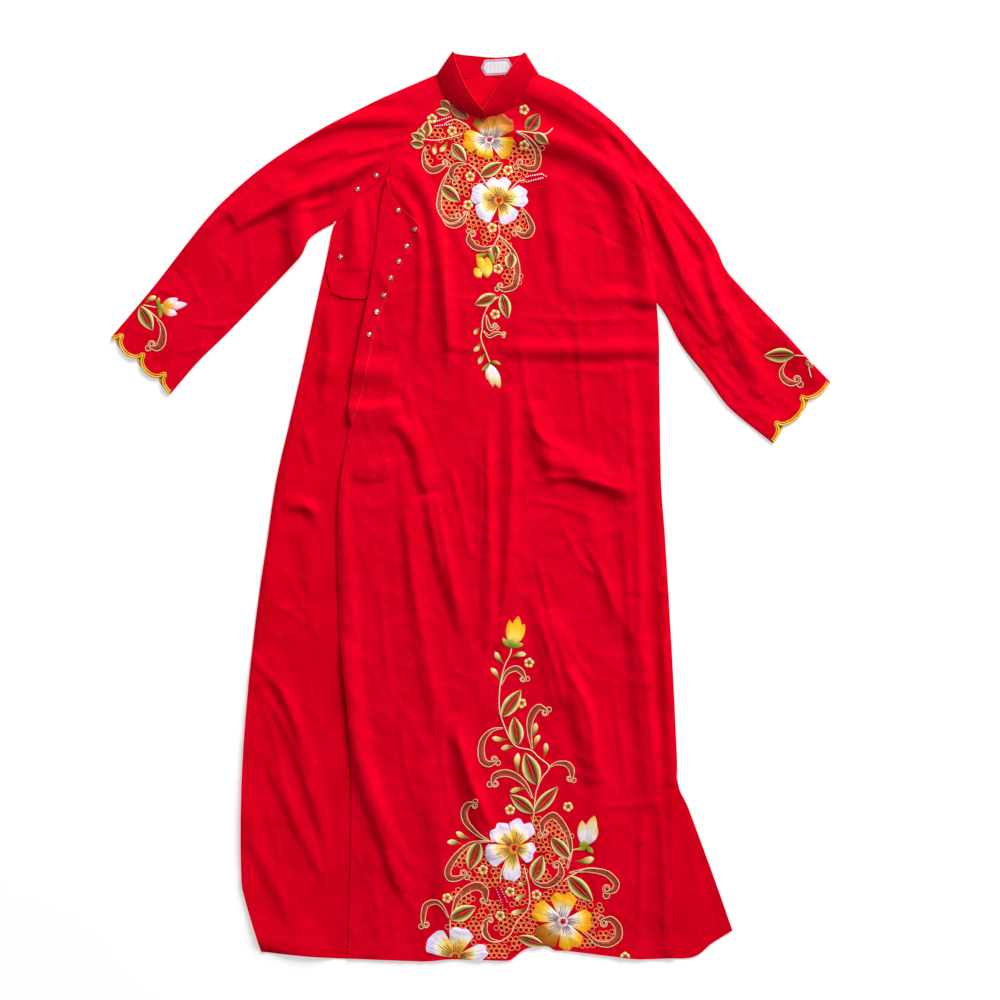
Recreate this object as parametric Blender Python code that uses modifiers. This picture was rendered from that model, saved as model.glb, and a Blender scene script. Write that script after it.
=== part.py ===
"""An ao dai tunic of red crepe laid flat, its right side opening turned back over the front.

The front with its turned-back opening, the back, two raglan sleeves with scalloped cuffs, the
inner flap, the stand collar, the woven label and each press stud are separate solids.
Plan sizes are in millimetres: X runs across the tunic from the middle of its spread, to the
wearer's left; Y runs up from the hem; Z is the height above the surface the tunic lies on.
"""

import math

import bmesh
import bpy
from mathutils import Matrix, Vector
from mathutils.bvhtree import BVHTree
from mathutils.geometry import delaunay_2d_cdt

MM = 0.001

# Walls, clearances and folds, in millimetres
CLOTH_WALL = 1.2
COLLAR_WALL = 1.6
LABEL_WALL = 1.0
SEAM_GAP = 0.8
SEAT_GAP = 0.35
TURN_RADIUS = 2.2
SLEEVE_FOLD_RADIUS = 1.6

# Height of the middle of each cloth layer, from the surface up
BACK_LEVEL = CLOTH_WALL / 2
UNDERLAP_LEVEL = 2.2
SLEEVE_FRONT_LEVEL = BACK_LEVEL + 2 * SLEEVE_FOLD_RADIUS
SKIRT_LEVEL = 2.4
CHEST_LEVEL = 5.6
CHEST_RISE = (850, 935)

# Spacing of the points that carry the folds
FRONT_STEP = 33
BACK_STEP = 42
UNDERLAP_STEP = 22
EDGE_STEP = 30

# Cutwork
EYELET_PITCH = 8.4
EYELET_RADIUS = 3.1
EYELET_SIDES = 6
EYELET_EDGE = 6.5

# Cuffs and press studs
SCALLOP_DEPTH = 15
STUD_RADIUS = 3.6
STUD_HEIGHT = 2.0
STUD_SIDES = 8

CLOTH_RED = (0.69, 0.005, 0.015)
COLLAR_RED = (0.60, 0.004, 0.012)
LABEL_WHITE = (0.75, 0.70, 0.72)
STUD_STEEL = (0.72, 0.70, 0.68)

# Edges of the front: x, y
FRONT_NECK = ((-33, 1256), (-17, 1241), (0, 1232), (16, 1228), (35, 1234), (55, 1246), (72, 1258))
FRONT_LEFT_RAGLAN = (
    (76, 1254), (94, 1237), (110, 1218), (128, 1199), (151, 1183), (174, 1172), (197, 1161),
    (210, 1156),
)
FRONT_LEFT_SIDE = (
    (210, 1156), (220, 1140), (231, 1127), (241, 1112), (239, 1095), (242, 1076), (248, 1053),
    (261, 998), (267, 958), (271, 905), (272, 828), (274, 697), (280, 610), (289, 458),
    (296, 320), (297, 270), (292, 225), (291, 90), (294, 23), (296, 4),
)
FRONT_HEM = (
    (296, 4), (244, 2), (204, 6), (171, 10), (138, 14), (120, 15), (109, 21), (88, 20),
    (74, 15), (60, 4), (50, 0), (12, 1), (-30, 2), (-66, -1), (-104, 0), (-180, 3),
)
FRONT_SLIT = (
    (-180, 3), (-177, 117), (-175, 277), (-181, 364), (-190, 451), (-196, 580), (-194, 668),
    (-184, 741), (-175, 779),
)
OPENING_FOLD = (
    (-175, 779), (-178, 806), (-172, 850), (-162, 906), (-151, 958), (-139, 1031),
    (-132, 1093), (-123, 1135),
)
FLAP_RAGLAN_EDGE = ((-123, 1135), (-120, 1115), (-107, 1095), (-93, 1081), (-76, 1063))
FLAP_SIDE_EDGE = (
    (-76, 1063), (-93, 1027), (-117, 980), (-136, 932), (-144, 903), (-154, 853), (-165, 808),
    (-175, 779),
)
FRONT_RIGHT_RAGLAN = (
    (-123, 1135), (-119, 1147), (-114, 1164), (-91, 1179), (-75, 1198), (-61, 1219), (-36, 1253),
)

# Edges of the back: x, y
BACK_RIGHT_SIDE = (
    (-201, 1065), (-206, 1044), (-215, 1002), (-225, 958), (-244, 871), (-264, 784),
    (-284, 697), (-297, 610), (-310, 523), (-325, 393), (-334, 262), (-335, 132), (-329, 88),
    (-306, 13),
)
BACK_HEM = (
    (-306, 13), (-190, 3), (-75, 9), (40, 12), (88, 30), (120, 28), (171, 20), (244, 9),
    (316, 4), (348, 25), (378, 44),
)
BACK_LEFT_SIDE = (
    (378, 44), (347, 132), (315, 219), (297, 268), (287, 407), (276, 581), (267, 755),
    (267, 900), (263, 956),
)
BACK_NECK = ((80, 1278), (48, 1279), (14, 1279), (-16, 1279), (-31, 1278))

# Sleeves: x, y of the outer folded edge from the cuff to the neck, and of the inner one from
# the cuff to the underarm
RIGHT_SLEEVE_OUTER = (
    (-515, 914), (-460, 980), (-392, 1067), (-351, 1111), (-300, 1154), (-233, 1198),
    (-152, 1241), (-104, 1263), (-56, 1281),
)
RIGHT_SLEEVE_INNER = (
    (-427, 835), (-396, 871), (-351, 915), (-267, 1002), (-247, 1024), (-237, 1046),
    (-221, 1059), (-200, 1070),
)
LEFT_SLEEVE_OUTER = (
    (507, 854), (450, 915), (387, 980), (366, 1006), (348, 1045), (300, 1111), (244, 1176),
    (202, 1219), (144, 1263), (102, 1279),
)
LEFT_SLEEVE_INNER = (
    (428, 767), (373, 806), (338, 850), (304, 893), (281, 937), (266, 957),
)
RIGHT_EDGES = (RIGHT_SLEEVE_OUTER, RIGHT_SLEEVE_INNER)
LEFT_EDGES = (LEFT_SLEEVE_OUTER, LEFT_SLEEVE_INNER)
# Share of each outer edge that lies below the underarm
RIGHT_UNDERARM_SHARE = 0.50
LEFT_UNDERARM_SHARE = 0.40

# Raglan seams of the sleeves, from the underarm to the neck: x, y
RIGHT_FRONT_RAGLAN = (
    (-200, 1070), (-188, 1080), (-171, 1099), (-148, 1121), (-109, 1154), (-81, 1174),
    (-51, 1214), (-30, 1250),
)
RIGHT_BACK_RAGLAN = (
    (-200, 1070), (-170, 1103), (-126, 1147), (-83, 1190), (-52, 1234), (-35, 1275),
)
LEFT_FRONT_RAGLAN = (
    (266, 957), (252, 995), (233, 1072), (225, 1116), (202, 1147), (170, 1163), (146, 1174),
    (122, 1190), (103, 1211), (72, 1251),
)
LEFT_BACK_RAGLAN = (
    (266, 957), (246, 1031), (218, 1096), (178, 1147), (130, 1190), (99, 1234), (83, 1275),
)

# Scallops of each cuff: distance of the first cusp from the outer fold, and width of a scallop
RIGHT_SCALLOPS = (5.7, 42.9)
LEFT_SCALLOPS = (-7.8, 53.5)
SCALLOP_POINTS = (0, 0.15, 0.5, 0.85)
SLEEVE_FOLD_TURNS = (60, 120)
ARM_STATIONS = (0, 0.06, 0.2, 0.36, 0.52, 0.68, 0.84, 1)
SHOULDER_STATIONS = (0.12, 0.24, 0.36, 0.48, 0.6, 0.72, 0.86, 1)

# Edges of the inner flap below its raglan seam: x, y
UNDERLAP_SEAM_START = (-113, 1156)
UNDERLAP_SIDE = ((-201, 1066), (-206, 1045), (-212, 1005), (-209, 987), (-204, 969))
UNDERLAP_HEM = ((-204, 969), (-177, 961), (-107, 960))
UNDERLAP_INNER = ((-107, 960), (-92, 1045), (-107, 1150))

# Soft folds: x, y of the crest's start, bend and end, half width, height
FRONT_FOLDS = (
    (-187, 712, -194, 509, -174, 335, 30, 8),
    (-177, 378, -154, 248, -102, 110, 30, 9),
    (-87, 1140, -52, 1053, -41, 900, 30, 7),
    (-80, 1045, -75, 958, -84, 864, 26, 4),
    (116, 1135, 128, 1038, 145, 951, 28, 6),
    (91, 893, 186, 886, 265, 886, 26, 5),
    (91, 1208, 157, 1185, 222, 1150, 34, 9),
    (200, 1165, 249, 1067, 265, 964, 32, 8),
    (-112, 777, -83, 741, -68, 668, 28, 6),
    (14, 755, 20, 610, 17, 465, 26, 6),
    (81, 813, 87, 741, 110, 610, 28, 6),
    (-49, 625, -29, 523, -14, 451, 28, 5),
    (-87, 712, -81, 538, -46, 349, 28, 5),
    (164, 668, 186, 581, 222, 451, 28, 5),
    (238, 581, 248, 407, 265, 233, 30, 6),
    (91, 523, 106, 422, 164, 291, 30, 6),
    (171, 378, 186, 233, 186, 88, 30, 4),
    (-25, 335, -6, 248, 17, 161, 28, 6),
    (-68, 291, -46, 161, -32, 30, 30, 4),
)
BACK_FOLDS = (
    (-304, 393, -271, 335, -223, 161, 30, 6),
    (-271, 422, -232, 320, -205, 117, 28, 5),
    (-296, 291, -278, 161, -249, 59, 26, 4),
    (-213, 958, -205, 886, -218, 784, 28, 5),
    (-228, 784, -232, 712, -249, 661, 26, 4),
    (-271, 639, -240, 603, -220, 523, 28, 4),
)
RIGHT_SLEEVE_FOLDS = (
    (-373, 1038, -249, 1108, -126, 1159, 26, 7),
    (-264, 1154, -177, 1179, -110, 1189, 24, 5),
    (-252, 1063, -232, 1086, -205, 1100, 22, 6),
    (-467, 958, -409, 1002, -336, 1067, 30, 4),
)
LEFT_SLEEVE_FOLDS = (
    (128, 1234, 218, 1172, 276, 1055, 22, 8),
    (273, 1053, 316, 958, 348, 893, 22, 8),
    (331, 973, 374, 900, 410, 835, 24, 7),
)
UNDERLAP_FOLDS = (
    (-174, 1090, -167, 1038, -178, 985, 18, 4),
)

# Stand collar, pressed flat: x, y, z of the neck seam, then x, y, z of the free edge,
# each part from the wearer's right to left
COLLAR_BACK = (
    (-47, 1284, 0.8, -25, 1316, 0.8), (-30, 1281, 0.8, -14, 1314, 0.8),
    (-5, 1280, 0.8, 6, 1312, 0.8), (24, 1280, 0.8, 30, 1310, 0.8),
    (55, 1280, 0.8, 52, 1311, 0.8), (80, 1280, 0.8, 66, 1313, 0.8),
    (94, 1283, 0.8, 74, 1315, 0.8),
)
COLLAR_FRONT_RIGHT = (
    (-48, 1284, 7.7, -26, 1316, 8.5), (-42, 1264, 7.8, -24, 1303, 11.5),
    (-34, 1249, 8.0, -17, 1284, 13.0), (-20, 1236, 8.4, -8, 1264, 13.0),
    (-2, 1226, 9.0, 4, 1246, 12.0), (17, 1220, 9.6, 15, 1228, 10.4),
)
COLLAR_FRONT_LEFT = (
    (20, 1222, 7.2, 16, 1231, 7.4), (38, 1228, 7.2, 25, 1249, 9.4),
    (55, 1238, 7.4, 37, 1268, 11.5), (71, 1250, 7.6, 50, 1284, 12.5),
    (84, 1263, 7.6, 61, 1300, 11.5), (94, 1283, 7.7, 74, 1315, 8.5),
)
COLLAR_FOLD_RADIUS = 3.5
COLLAR_FOLD_TURNS = (40, 90, 140)
COLLAR_COLUMNS = (0, 0.5, 1)

# Woven label, centred on the inside of the collar's back
LABEL_CENTRE = (36, 1296)
LABEL_LENGTH = 46
LABEL_WIDTH = 23
LABEL_POINT = 6

# Press studs: x, y on the turned-back edge, on the sleeve's seam and on the inner flap
FLAP_STUDS = (
    (-107, 1088), (-83, 1060), (-95, 1036), (-106, 1014), (-118, 990), (-128, 965),
    (-138, 941), (-149, 908),
)
SLEEVE_STUDS = ((-139, 1139), (-166, 1119))
UNDERLAP_STUDS = ((-191, 1021),)

# Cutwork fields: x, y, half width, half height, turn in degrees
EYELET_FIELDS = (
    (-38, 1204, 26, 12, 0), (-16, 1180, 16, 9, -35), (6, 1160, 13, 10, -20),
    (28, 1161, 14, 7, 10), (55, 1172, 14, 12, 40), (81, 1172, 16, 13, 0), (-64, 1166, 7, 13, 0),
    (-36, 1172, 13, 12, 0), (-14, 1146, 12, 10, 0), (17, 1135, 6, 6, 0), (39, 1138, 9, 7, 0),
    (61, 1140, 13, 9, 0), (-9, 1119, 19, 13, -20), (-35, 1131, 6, 6, 0), (-33, 1092, 14, 16, 0),
    (7, 1076, 17, 12, -10), (23, 1054, 9, 13, -20), (14, 1041, 9, 6, 0), (58, 1067, 20, 13, 15),
    (46, 1035, 9, 13, 20), (42, 1018, 7, 12, 0), (55, 992, 12, 12, 0), (-14, 152, 17, 9, 47),
    (22, 149, 7, 14, -20), (26, 123, 14, 16, 0), (3, 125, 9, 9, 0), (-12, 90, 13, 12, 30),
    (71, 125, 6, 12, 0), (55, 109, 12, 9, 0), (67, 99, 10, 9, 0), (65, 83, 10, 6, 10),
    (33, 77, 14, 7, 0), (13, 72, 9, 7, 0), (6, 54, 9, 22, 0), (-20, 51, 13, 6, 0),
    (49, 52, 10, 13, -20), (36, 14, 19, 9, 0), (61, 25, 16, 10, 10), (93, 200, 6, 10, 0),
    (125, 187, 17, 10, -40), (100, 168, 14, 13, 0), (109, 151, 7, 10, 0), (135, 144, 6, 6, 0),
    (103, 122, 9, 10, 0), (130, 106, 12, 7, 0), (145, 96, 17, 7, -25), (165, 84, 12, 10, -30),
    (177, 59, 7, 22, -12), (190, 33, 14, 9, 0), (168, 22, 9, 9, 0), (107, 96, 6, 6, 0),
    (84, 71, 9, 17, -20), (75, 51, 14, 12, 0), (90, 39, 9, 6, 0),
)
# Embroidered motifs that stay whole: x, y of the two ends of each, half width
KEPT_WHOLE = (
    (26, 1195, 26, 1195, 32), (24, 1103, 54, 1102, 28), (60, 171, 60, 151, 32),
    (132, 58, 132, 58, 39), (-25, 9, -25, 9, 39), (75, 1234, 75, 1234, 7),
    (-30, 1204, -30, 1204, 7), (75, 1180, 75, 1180, 7), (54, 1146, 54, 1146, 7),
    (-3, 1137, -3, 1137, 7), (-6, 1096, -6, 1096, 7), (29, 1063, 29, 1063, 7),
    (38, 1003, 38, 1003, 7), (16, 133, 16, 133, 7), (55, 102, 55, 102, 7),
    (93, 96, 93, 96, 7), (41, 65, 41, 65, 7), (-29, 1186, -9, 1159, 6),
    (12, 1140, 44, 1157, 6), (-45, 1125, -19, 1103, 6), (-57, 1192, -57, 1169, 4),
    (-38, 1190, -48, 1173, 4), (93, 161, 86, 117, 7), (116, 175, 136, 149, 6),
    (-32, 62, 4, 77, 6), (9, 168, -3, 135, 7), (136, 125, 171, 88, 6), (70, 38, 96, 19, 4),
    (84, 94, 58, 86, 3), (80, 78, 57, 70, 3),
)


def smooth_step(value, start, end):
    """0 before start, 1 after end, with a soft change between them."""
    t = min(1, max(0, (value - start) / (end - start)))
    return t * t * (3 - 2 * t)


def curve_between(before, start, end, after, t):
    """A point on the Catmull-Rom curve from start to end."""
    return tuple(
        0.5 * (2 * b + (c - a) * t + (2 * a - 5 * b + 4 * c - d) * t * t
               + (3 * b - a - 3 * c + d) * t ** 3)
        for a, b, c, d in zip(before, start, end, after)
    )


def smooth_line(points, step):
    """Points a step or so apart on a smooth line through the given ones."""
    padded = (points[0], *points, points[-1])
    line = []
    for before, start, end, after in zip(padded, padded[1:], padded[2:], padded[3:]):
        count = max(1, round(math.dist(start, end) / step))
        line += [curve_between(before, start, end, after, i / count) for i in range(count)]
    return [*line, tuple(points[-1])]


def point_at(line, fraction):
    """The point at a fraction of a line's length."""
    lengths = [math.dist(a, b) for a, b in zip(line, line[1:])]
    left = fraction * sum(lengths)
    for start, end, length in zip(line, line[1:], lengths):
        if left <= length:
            return Vector(start).lerp(Vector(end), left / length)
        left -= length
    return Vector(line[-1])


def shifted(line, distance):
    """A plan line moved sideways, to the right of its direction."""
    moved = []
    for i, point in enumerate(line):
        along = Vector(line[min(i + 1, len(line) - 1)]) - Vector(line[max(i - 1, 0)])
        along.normalize()
        moved.append((point[0] + along.y * distance, point[1] - along.x * distance))
    return moved


def joined(*lines):
    """A closed border from lines that meet end to end."""
    border = []
    for line in lines:
        border += [tuple(p) for p in line if not border or math.dist(p, border[-1]) > 0.5]
    return border if math.dist(border[0], border[-1]) > 0.5 else border[:-1]


def nearest_on_line(x, y, line):
    """Distance from a point to a line, and how far along the line the nearest point is."""
    best = (math.inf, 0)
    for i, (a, b) in enumerate(zip(line, line[1:])):
        dx, dy = b[0] - a[0], b[1] - a[1]
        t = ((x - a[0]) * dx + (y - a[1]) * dy) / max(dx * dx + dy * dy, 1e-9)
        t = min(1, max(0, t))
        distance = math.hypot(x - a[0] - t * dx, y - a[1] - t * dy)
        best = min(best, (distance, (i + t) / (len(line) - 1)))
    return best


def inside(x, y, border):
    """Whether a point lies inside a closed border."""
    crossings = 0
    for (ax, ay), (bx, by) in zip(border, border[1:] + border[:1]):
        if (ay > y) != (by > y) and x < ax + (y - ay) * (bx - ax) / (by - ay):
            crossings += 1
    return crossings % 2 == 1


def crests(folds):
    """Each fold's crest as a line, with its half width and height."""
    return [
        (smooth_line(((f[0], f[1]), (f[2], f[3]), (f[4], f[5])), 25), f[6], f[7]) for f in folds
    ]


def lift(x, y, fold_crests):
    """Height that the soft folds add at a point."""
    total = 0
    for line, half_width, height in fold_crests:
        distance, along = nearest_on_line(x, y, line)
        if distance < half_width:
            bell = 0.5 + 0.5 * math.cos(math.pi * distance / half_width)
            total += height * bell * math.sin(math.pi * along) ** 0.6
    return total


FRONT_CRESTS = crests(FRONT_FOLDS)
BACK_CRESTS = crests(BACK_FOLDS)
RIGHT_SLEEVE_CRESTS = crests(RIGHT_SLEEVE_FOLDS)
LEFT_SLEEVE_CRESTS = crests(LEFT_SLEEVE_FOLDS)
UNDERLAP_CRESTS = crests(UNDERLAP_FOLDS)


def front_height(x, y):
    rise = smooth_step(y, *CHEST_RISE) * (CHEST_LEVEL - SKIRT_LEVEL)
    return SKIRT_LEVEL + rise + lift(x, y, FRONT_CRESTS)


def flap_height(x, y):
    """The turned-back opening lies on the front, above its points."""
    return front_height(x, y) + 2 * TURN_RADIUS


def back_height(x, y):
    """The back lies flat but for the folds beside the front's right edge."""
    clear = smooth_step(nearest_on_line(x, y, FRONT_SLIT + OPENING_FOLD)[0], 18, 50)
    return BACK_LEVEL + clear * lift(x, y, BACK_CRESTS)


def underlap_height(x, y):
    return UNDERLAP_LEVEL + lift(x, y, UNDERLAP_CRESTS)


def eyelet_allowed(x, y, border, centres):
    """Eyelets keep clear of the motifs, of each other and of the panel's edge."""
    for ax, ay, bx, by, half_width in KEPT_WHOLE:
        if nearest_on_line(x, y, ((ax, ay), (bx, by)))[0] < half_width + 0.4 * EYELET_RADIUS:
            return False
    if any(math.dist((x, y), centre) < 0.94 * EYELET_PITCH for centre in centres):
        return False
    return inside(x, y, border) and nearest_on_line(x, y, [*border, border[0]])[0] > EYELET_EDGE


def eyelet_centres(border):
    """Fill each cutwork field with staggered rows, set slightly unevenly as by hand."""
    centres = []
    row_pitch = EYELET_PITCH * math.sqrt(3) / 2
    for x, y, half_width, half_height, turn in EYELET_FIELDS:
        rows = int(half_height / row_pitch) + 1
        columns = int(half_width / EYELET_PITCH) + 1
        for row in range(-rows, rows + 1):
            for column in range(-columns, columns + 1):
                u = (column + 0.5 * (row % 2)) * EYELET_PITCH
                v = row * row_pitch
                if (u / half_width) ** 2 + (v / half_height) ** 2 > 1.1:
                    continue
                offset = Vector((u, v)) @ Matrix.Rotation(math.radians(-turn), 2)
                centre = (x + offset.x + 0.4 * math.sin(x + 2 * v), y + offset.y + 0.4 * math.sin(y + 3 * u))
                if eyelet_allowed(*centre, border, centres):
                    centres.append(centre)
    return centres


def eyelet_ring(centre):
    turn = 2 * math.pi / EYELET_SIDES
    return [
        (centre[0] + EYELET_RADIUS * math.cos(i * turn), centre[1] + EYELET_RADIUS * math.sin(i * turn))
        for i in range(EYELET_SIDES)
    ]


def inner_points(border, centres, step):
    """Staggered points inside a border, clear of its edge and of the eyelets."""
    points = []
    row_step = step * math.sqrt(3) / 2
    xs = [p[0] for p in border]
    ys = [p[1] for p in border]
    closed = [*border, border[0]]
    for row in range(int((max(ys) - min(ys)) / row_step) + 1):
        y = min(ys) + (row + 0.5) * row_step
        for column in range(int((max(xs) - min(xs)) / step) + 1):
            x = min(xs) + (column + 0.5 * (row % 2)) * step
            if not inside(x, y, border) or nearest_on_line(x, y, closed)[0] < 0.4 * step:
                continue
            if all(math.dist((x, y), centre) > 0.4 * step for centre in centres):
                points.append((x, y))
    return points


def fill_sheet(bm, border, step, height, centres=()):
    """Add a panel's cloth inside a border; returns the border's vertices in order."""
    plan = list(border)
    rings = [(0, len(plan))]
    for centre in centres:
        ring = eyelet_ring(centre)
        rings.append((len(plan), len(plan) + len(ring)))
        plan += ring
    edges = [
        (i, i + 1 if i + 1 < stop else start) for start, stop in rings for i in range(start, stop)
    ]
    plan += inner_points(border, centres, step)
    filled = delaunay_2d_cdt([Vector(p) for p in plan], edges, [], 1, 1e-5)
    if len(filled[0]) != len(plan):
        raise ValueError("a panel's edges cross")
    ring_of = {i: n for n, (start, stop) in enumerate(rings) if n for i in range(start, stop)}
    verts = [bm.verts.new((x * MM, y * MM, height(x, y) * MM)) for x, y in plan]
    for face in filled[2]:
        corners = [ring_of.get(i) for i in face]
        if corners[0] is None or corners.count(corners[0]) < 3:
            bm.faces.new([verts[i] for i in face])
    return verts[:len(border)]


def paint(name, colour, roughness, metallic=0.0):
    """A plain material for one kind of piece."""
    material = bpy.data.materials.new(name)
    material.use_nodes = True
    shader = material.node_tree.nodes["Principled BSDF"]
    shader.inputs["Base Color"].default_value = (*colour, 1)
    shader.inputs["Roughness"].default_value = roughness
    shader.inputs["Metallic"].default_value = metallic
    material.diffuse_color = (*colour, 1)
    return material


def place(name, mesh, material, carrier, collection):
    """Put a mesh in the scene as a named piece of the tunic."""
    piece = bpy.data.objects.new(name, mesh)
    mesh.materials.append(material)
    collection.objects.link(piece)
    piece.parent = carrier
    return piece


def sew(name, bm, wall, material, carrier, collection):
    """Turn a single sheet of faces into a cloth wall of even thickness."""
    bmesh.ops.recalc_face_normals(bm, faces=bm.faces)
    mesh = bpy.data.meshes.new(name)
    bm.to_mesh(mesh)
    bm.free()
    mesh.shade_smooth()
    piece = place(name, mesh, material, carrier, collection)
    wall_maker = piece.modifiers.new("wall", "SOLIDIFY")
    wall_maker.thickness = wall * MM
    wall_maker.offset = 0
    return piece


def seam_points(edges, seam, share, scallops, gap):
    """A raglan seam's points as its sleeve has them, moved clear of it by the seam's gap."""
    rows = sleeve_layer(*edges, seam, share, scallops)
    return shifted([tuple(rows[i][0][-1]) for i in range(len(ARM_STATIONS) - 1, len(rows))], gap)


def build_back(carrier, collection, material):
    left = seam_points(LEFT_EDGES, LEFT_BACK_RAGLAN, LEFT_UNDERARM_SHARE, LEFT_SCALLOPS, -SEAM_GAP)
    right = seam_points(
        RIGHT_EDGES, RIGHT_BACK_RAGLAN, RIGHT_UNDERARM_SHARE, RIGHT_SCALLOPS, SEAM_GAP
    )
    border = joined(
        smooth_line(BACK_RIGHT_SIDE, EDGE_STEP), smooth_line(BACK_HEM, EDGE_STEP),
        smooth_line(BACK_LEFT_SIDE, EDGE_STEP), left[1:-1], BACK_NECK, right[-2:0:-1],
    )
    bm = bmesh.new()
    fill_sheet(bm, border, BACK_STEP, back_height)
    sew("back_panel", bm, CLOTH_WALL, material, carrier, collection)


def build_front(carrier, collection, material):
    """The front, its cutwork, and the opening edge turned back over it in one piece of cloth."""
    before_fold = joined(
        smooth_line(FRONT_NECK, EDGE_STEP), smooth_line(FRONT_LEFT_RAGLAN, EDGE_STEP),
        smooth_line(FRONT_LEFT_SIDE, EDGE_STEP), smooth_line(FRONT_HEM, EDGE_STEP),
        smooth_line(FRONT_SLIT, EDGE_STEP),
    )
    fold = smooth_line(OPENING_FOLD, EDGE_STEP)
    border = joined(before_fold, fold, smooth_line(FRONT_RIGHT_RAGLAN, EDGE_STEP))
    bm = bmesh.new()
    front_edge = fill_sheet(bm, border, FRONT_STEP, front_height, eyelet_centres(border))
    first = border.index(fold[0])
    inner = front_edge[first:first + len(fold)]

    free_edge = joined(
        smooth_line(FLAP_RAGLAN_EDGE, EDGE_STEP), smooth_line(FLAP_SIDE_EDGE, EDGE_STEP)
    )
    flap_border = joined(fold, free_edge)
    outer = fill_sheet(bm, flap_border, UNDERLAP_STEP, flap_height)[:len(fold)]

    outward = shifted(fold, -1)
    strips = [inner]
    for angle in (45, 90, 135):
        turn = math.radians(angle)
        strip = []
        for (x, y), (ox, oy), vert in zip(fold, outward, inner):
            reach = TURN_RADIUS * math.sin(turn)
            rise = TURN_RADIUS * (1 - math.cos(turn)) * MM
            place_x = (x + (ox - x) * reach) * MM
            place_y = (y + (oy - y) * reach) * MM
            strip.append(bm.verts.new((place_x, place_y, vert.co.z + rise)))
        strips.append(strip)
    strips.append(outer)
    for low, high in zip(strips, strips[1:]):
        for a, b, c, d in zip(low, low[1:], high[1:], high):
            bm.faces.new((a, b, c, d))
    sew("front_panel", bm, CLOTH_WALL, material, carrier, collection)


def build_underlap(carrier, collection, material):
    """The inner flap below the right sleeve's raglan seam, under the opening."""
    seam = seam_points(
        RIGHT_EDGES, RIGHT_FRONT_RAGLAN, RIGHT_UNDERARM_SHARE, RIGHT_SCALLOPS, SEAM_GAP
    )
    below = [p for p in reversed(seam) if p[1] < UNDERLAP_SEAM_START[1] - 8]
    border = joined(
        [UNDERLAP_SEAM_START, *below[:-1]], UNDERLAP_SIDE,
        smooth_line(UNDERLAP_HEM, UNDERLAP_STEP), smooth_line(UNDERLAP_INNER, EDGE_STEP),
    )
    bm = bmesh.new()
    fill_sheet(bm, border, UNDERLAP_STEP, underlap_height)
    sew("underlap", bm, CLOTH_WALL, material, carrier, collection)


def cuff_columns(scallops, width):
    """Distances across the cuff that catch every cusp and curve of its scallops."""
    first, pitch = scallops
    places = {0, width}
    start = first - pitch
    while start < width:
        for fraction in SCALLOP_POINTS:
            distance = start + fraction * pitch
            if 3 < distance < width - 3:
                places.add(distance)
        start += pitch
    return sorted(places)


def scallop_bulge(distance, scallops):
    """How far the scalloped edge stands out at a distance across the cuff."""
    first, pitch = scallops
    fraction = (distance - first) / pitch % 1
    return SCALLOP_DEPTH * math.sqrt(max(0, 1 - (2 * fraction - 1) ** 2))


def side_normal(line, along, other_side):
    """Plan direction square to a side edge, pointing away from the sleeve's other side."""
    run = point_at(line, min(1, along + 0.02)) - point_at(line, max(0, along - 0.02))
    normal = Vector((run.y, -run.x)).normalized()
    return -normal if normal.dot(other_side - point_at(line, along)) > 0 else normal


def sleeve_layer(outer, inner, seam, share, scallops):
    """One layer of a sleeve in plan, from the cuff up: its rows, and its seam's points."""
    outer_line = smooth_line(outer, EDGE_STEP)
    inner_line = smooth_line(inner, EDGE_STEP)
    seam_line = smooth_line(seam, EDGE_STEP)
    width = math.dist(outer[0], inner[0])
    toward_hand = (Vector(inner[0]) - Vector(inner[1])).normalized()
    stops = [(share * along, inner_line, along) for along in ARM_STATIONS]
    stops += [(share + (1 - share) * along, seam_line, along) for along in SHOULDER_STATIONS]
    rows = []
    for outer_along, other_line, along in stops:
        start, end = point_at(outer_line, outer_along), point_at(other_line, along)
        inset_start = side_normal(outer_line, outer_along, end) * SLEEVE_FOLD_RADIUS
        inset_end = side_normal(inner_line, along, start) * SLEEVE_FOLD_RADIUS
        if other_line is seam_line:
            inset_end = Vector((0, 0))
        row = []
        for place in cuff_columns(scallops, width):
            point = (start - inset_start).lerp(end - inset_end, place / width)
            if not rows:
                point += toward_hand * scallop_bulge(place, scallops)
            row.append(point)
        rows.append((row, inset_start, inset_end))
    return rows


def folded_side(start, end, outward, angles):
    """Points round the fold between two layers, from the start point to the end point."""
    points = []
    for angle in angles:
        turn = math.radians(angle)
        middle = Vector(start).lerp(Vector(end), (1 - math.cos(turn)) / 2)
        points.append(middle + outward * math.sin(turn))
    return points


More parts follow.
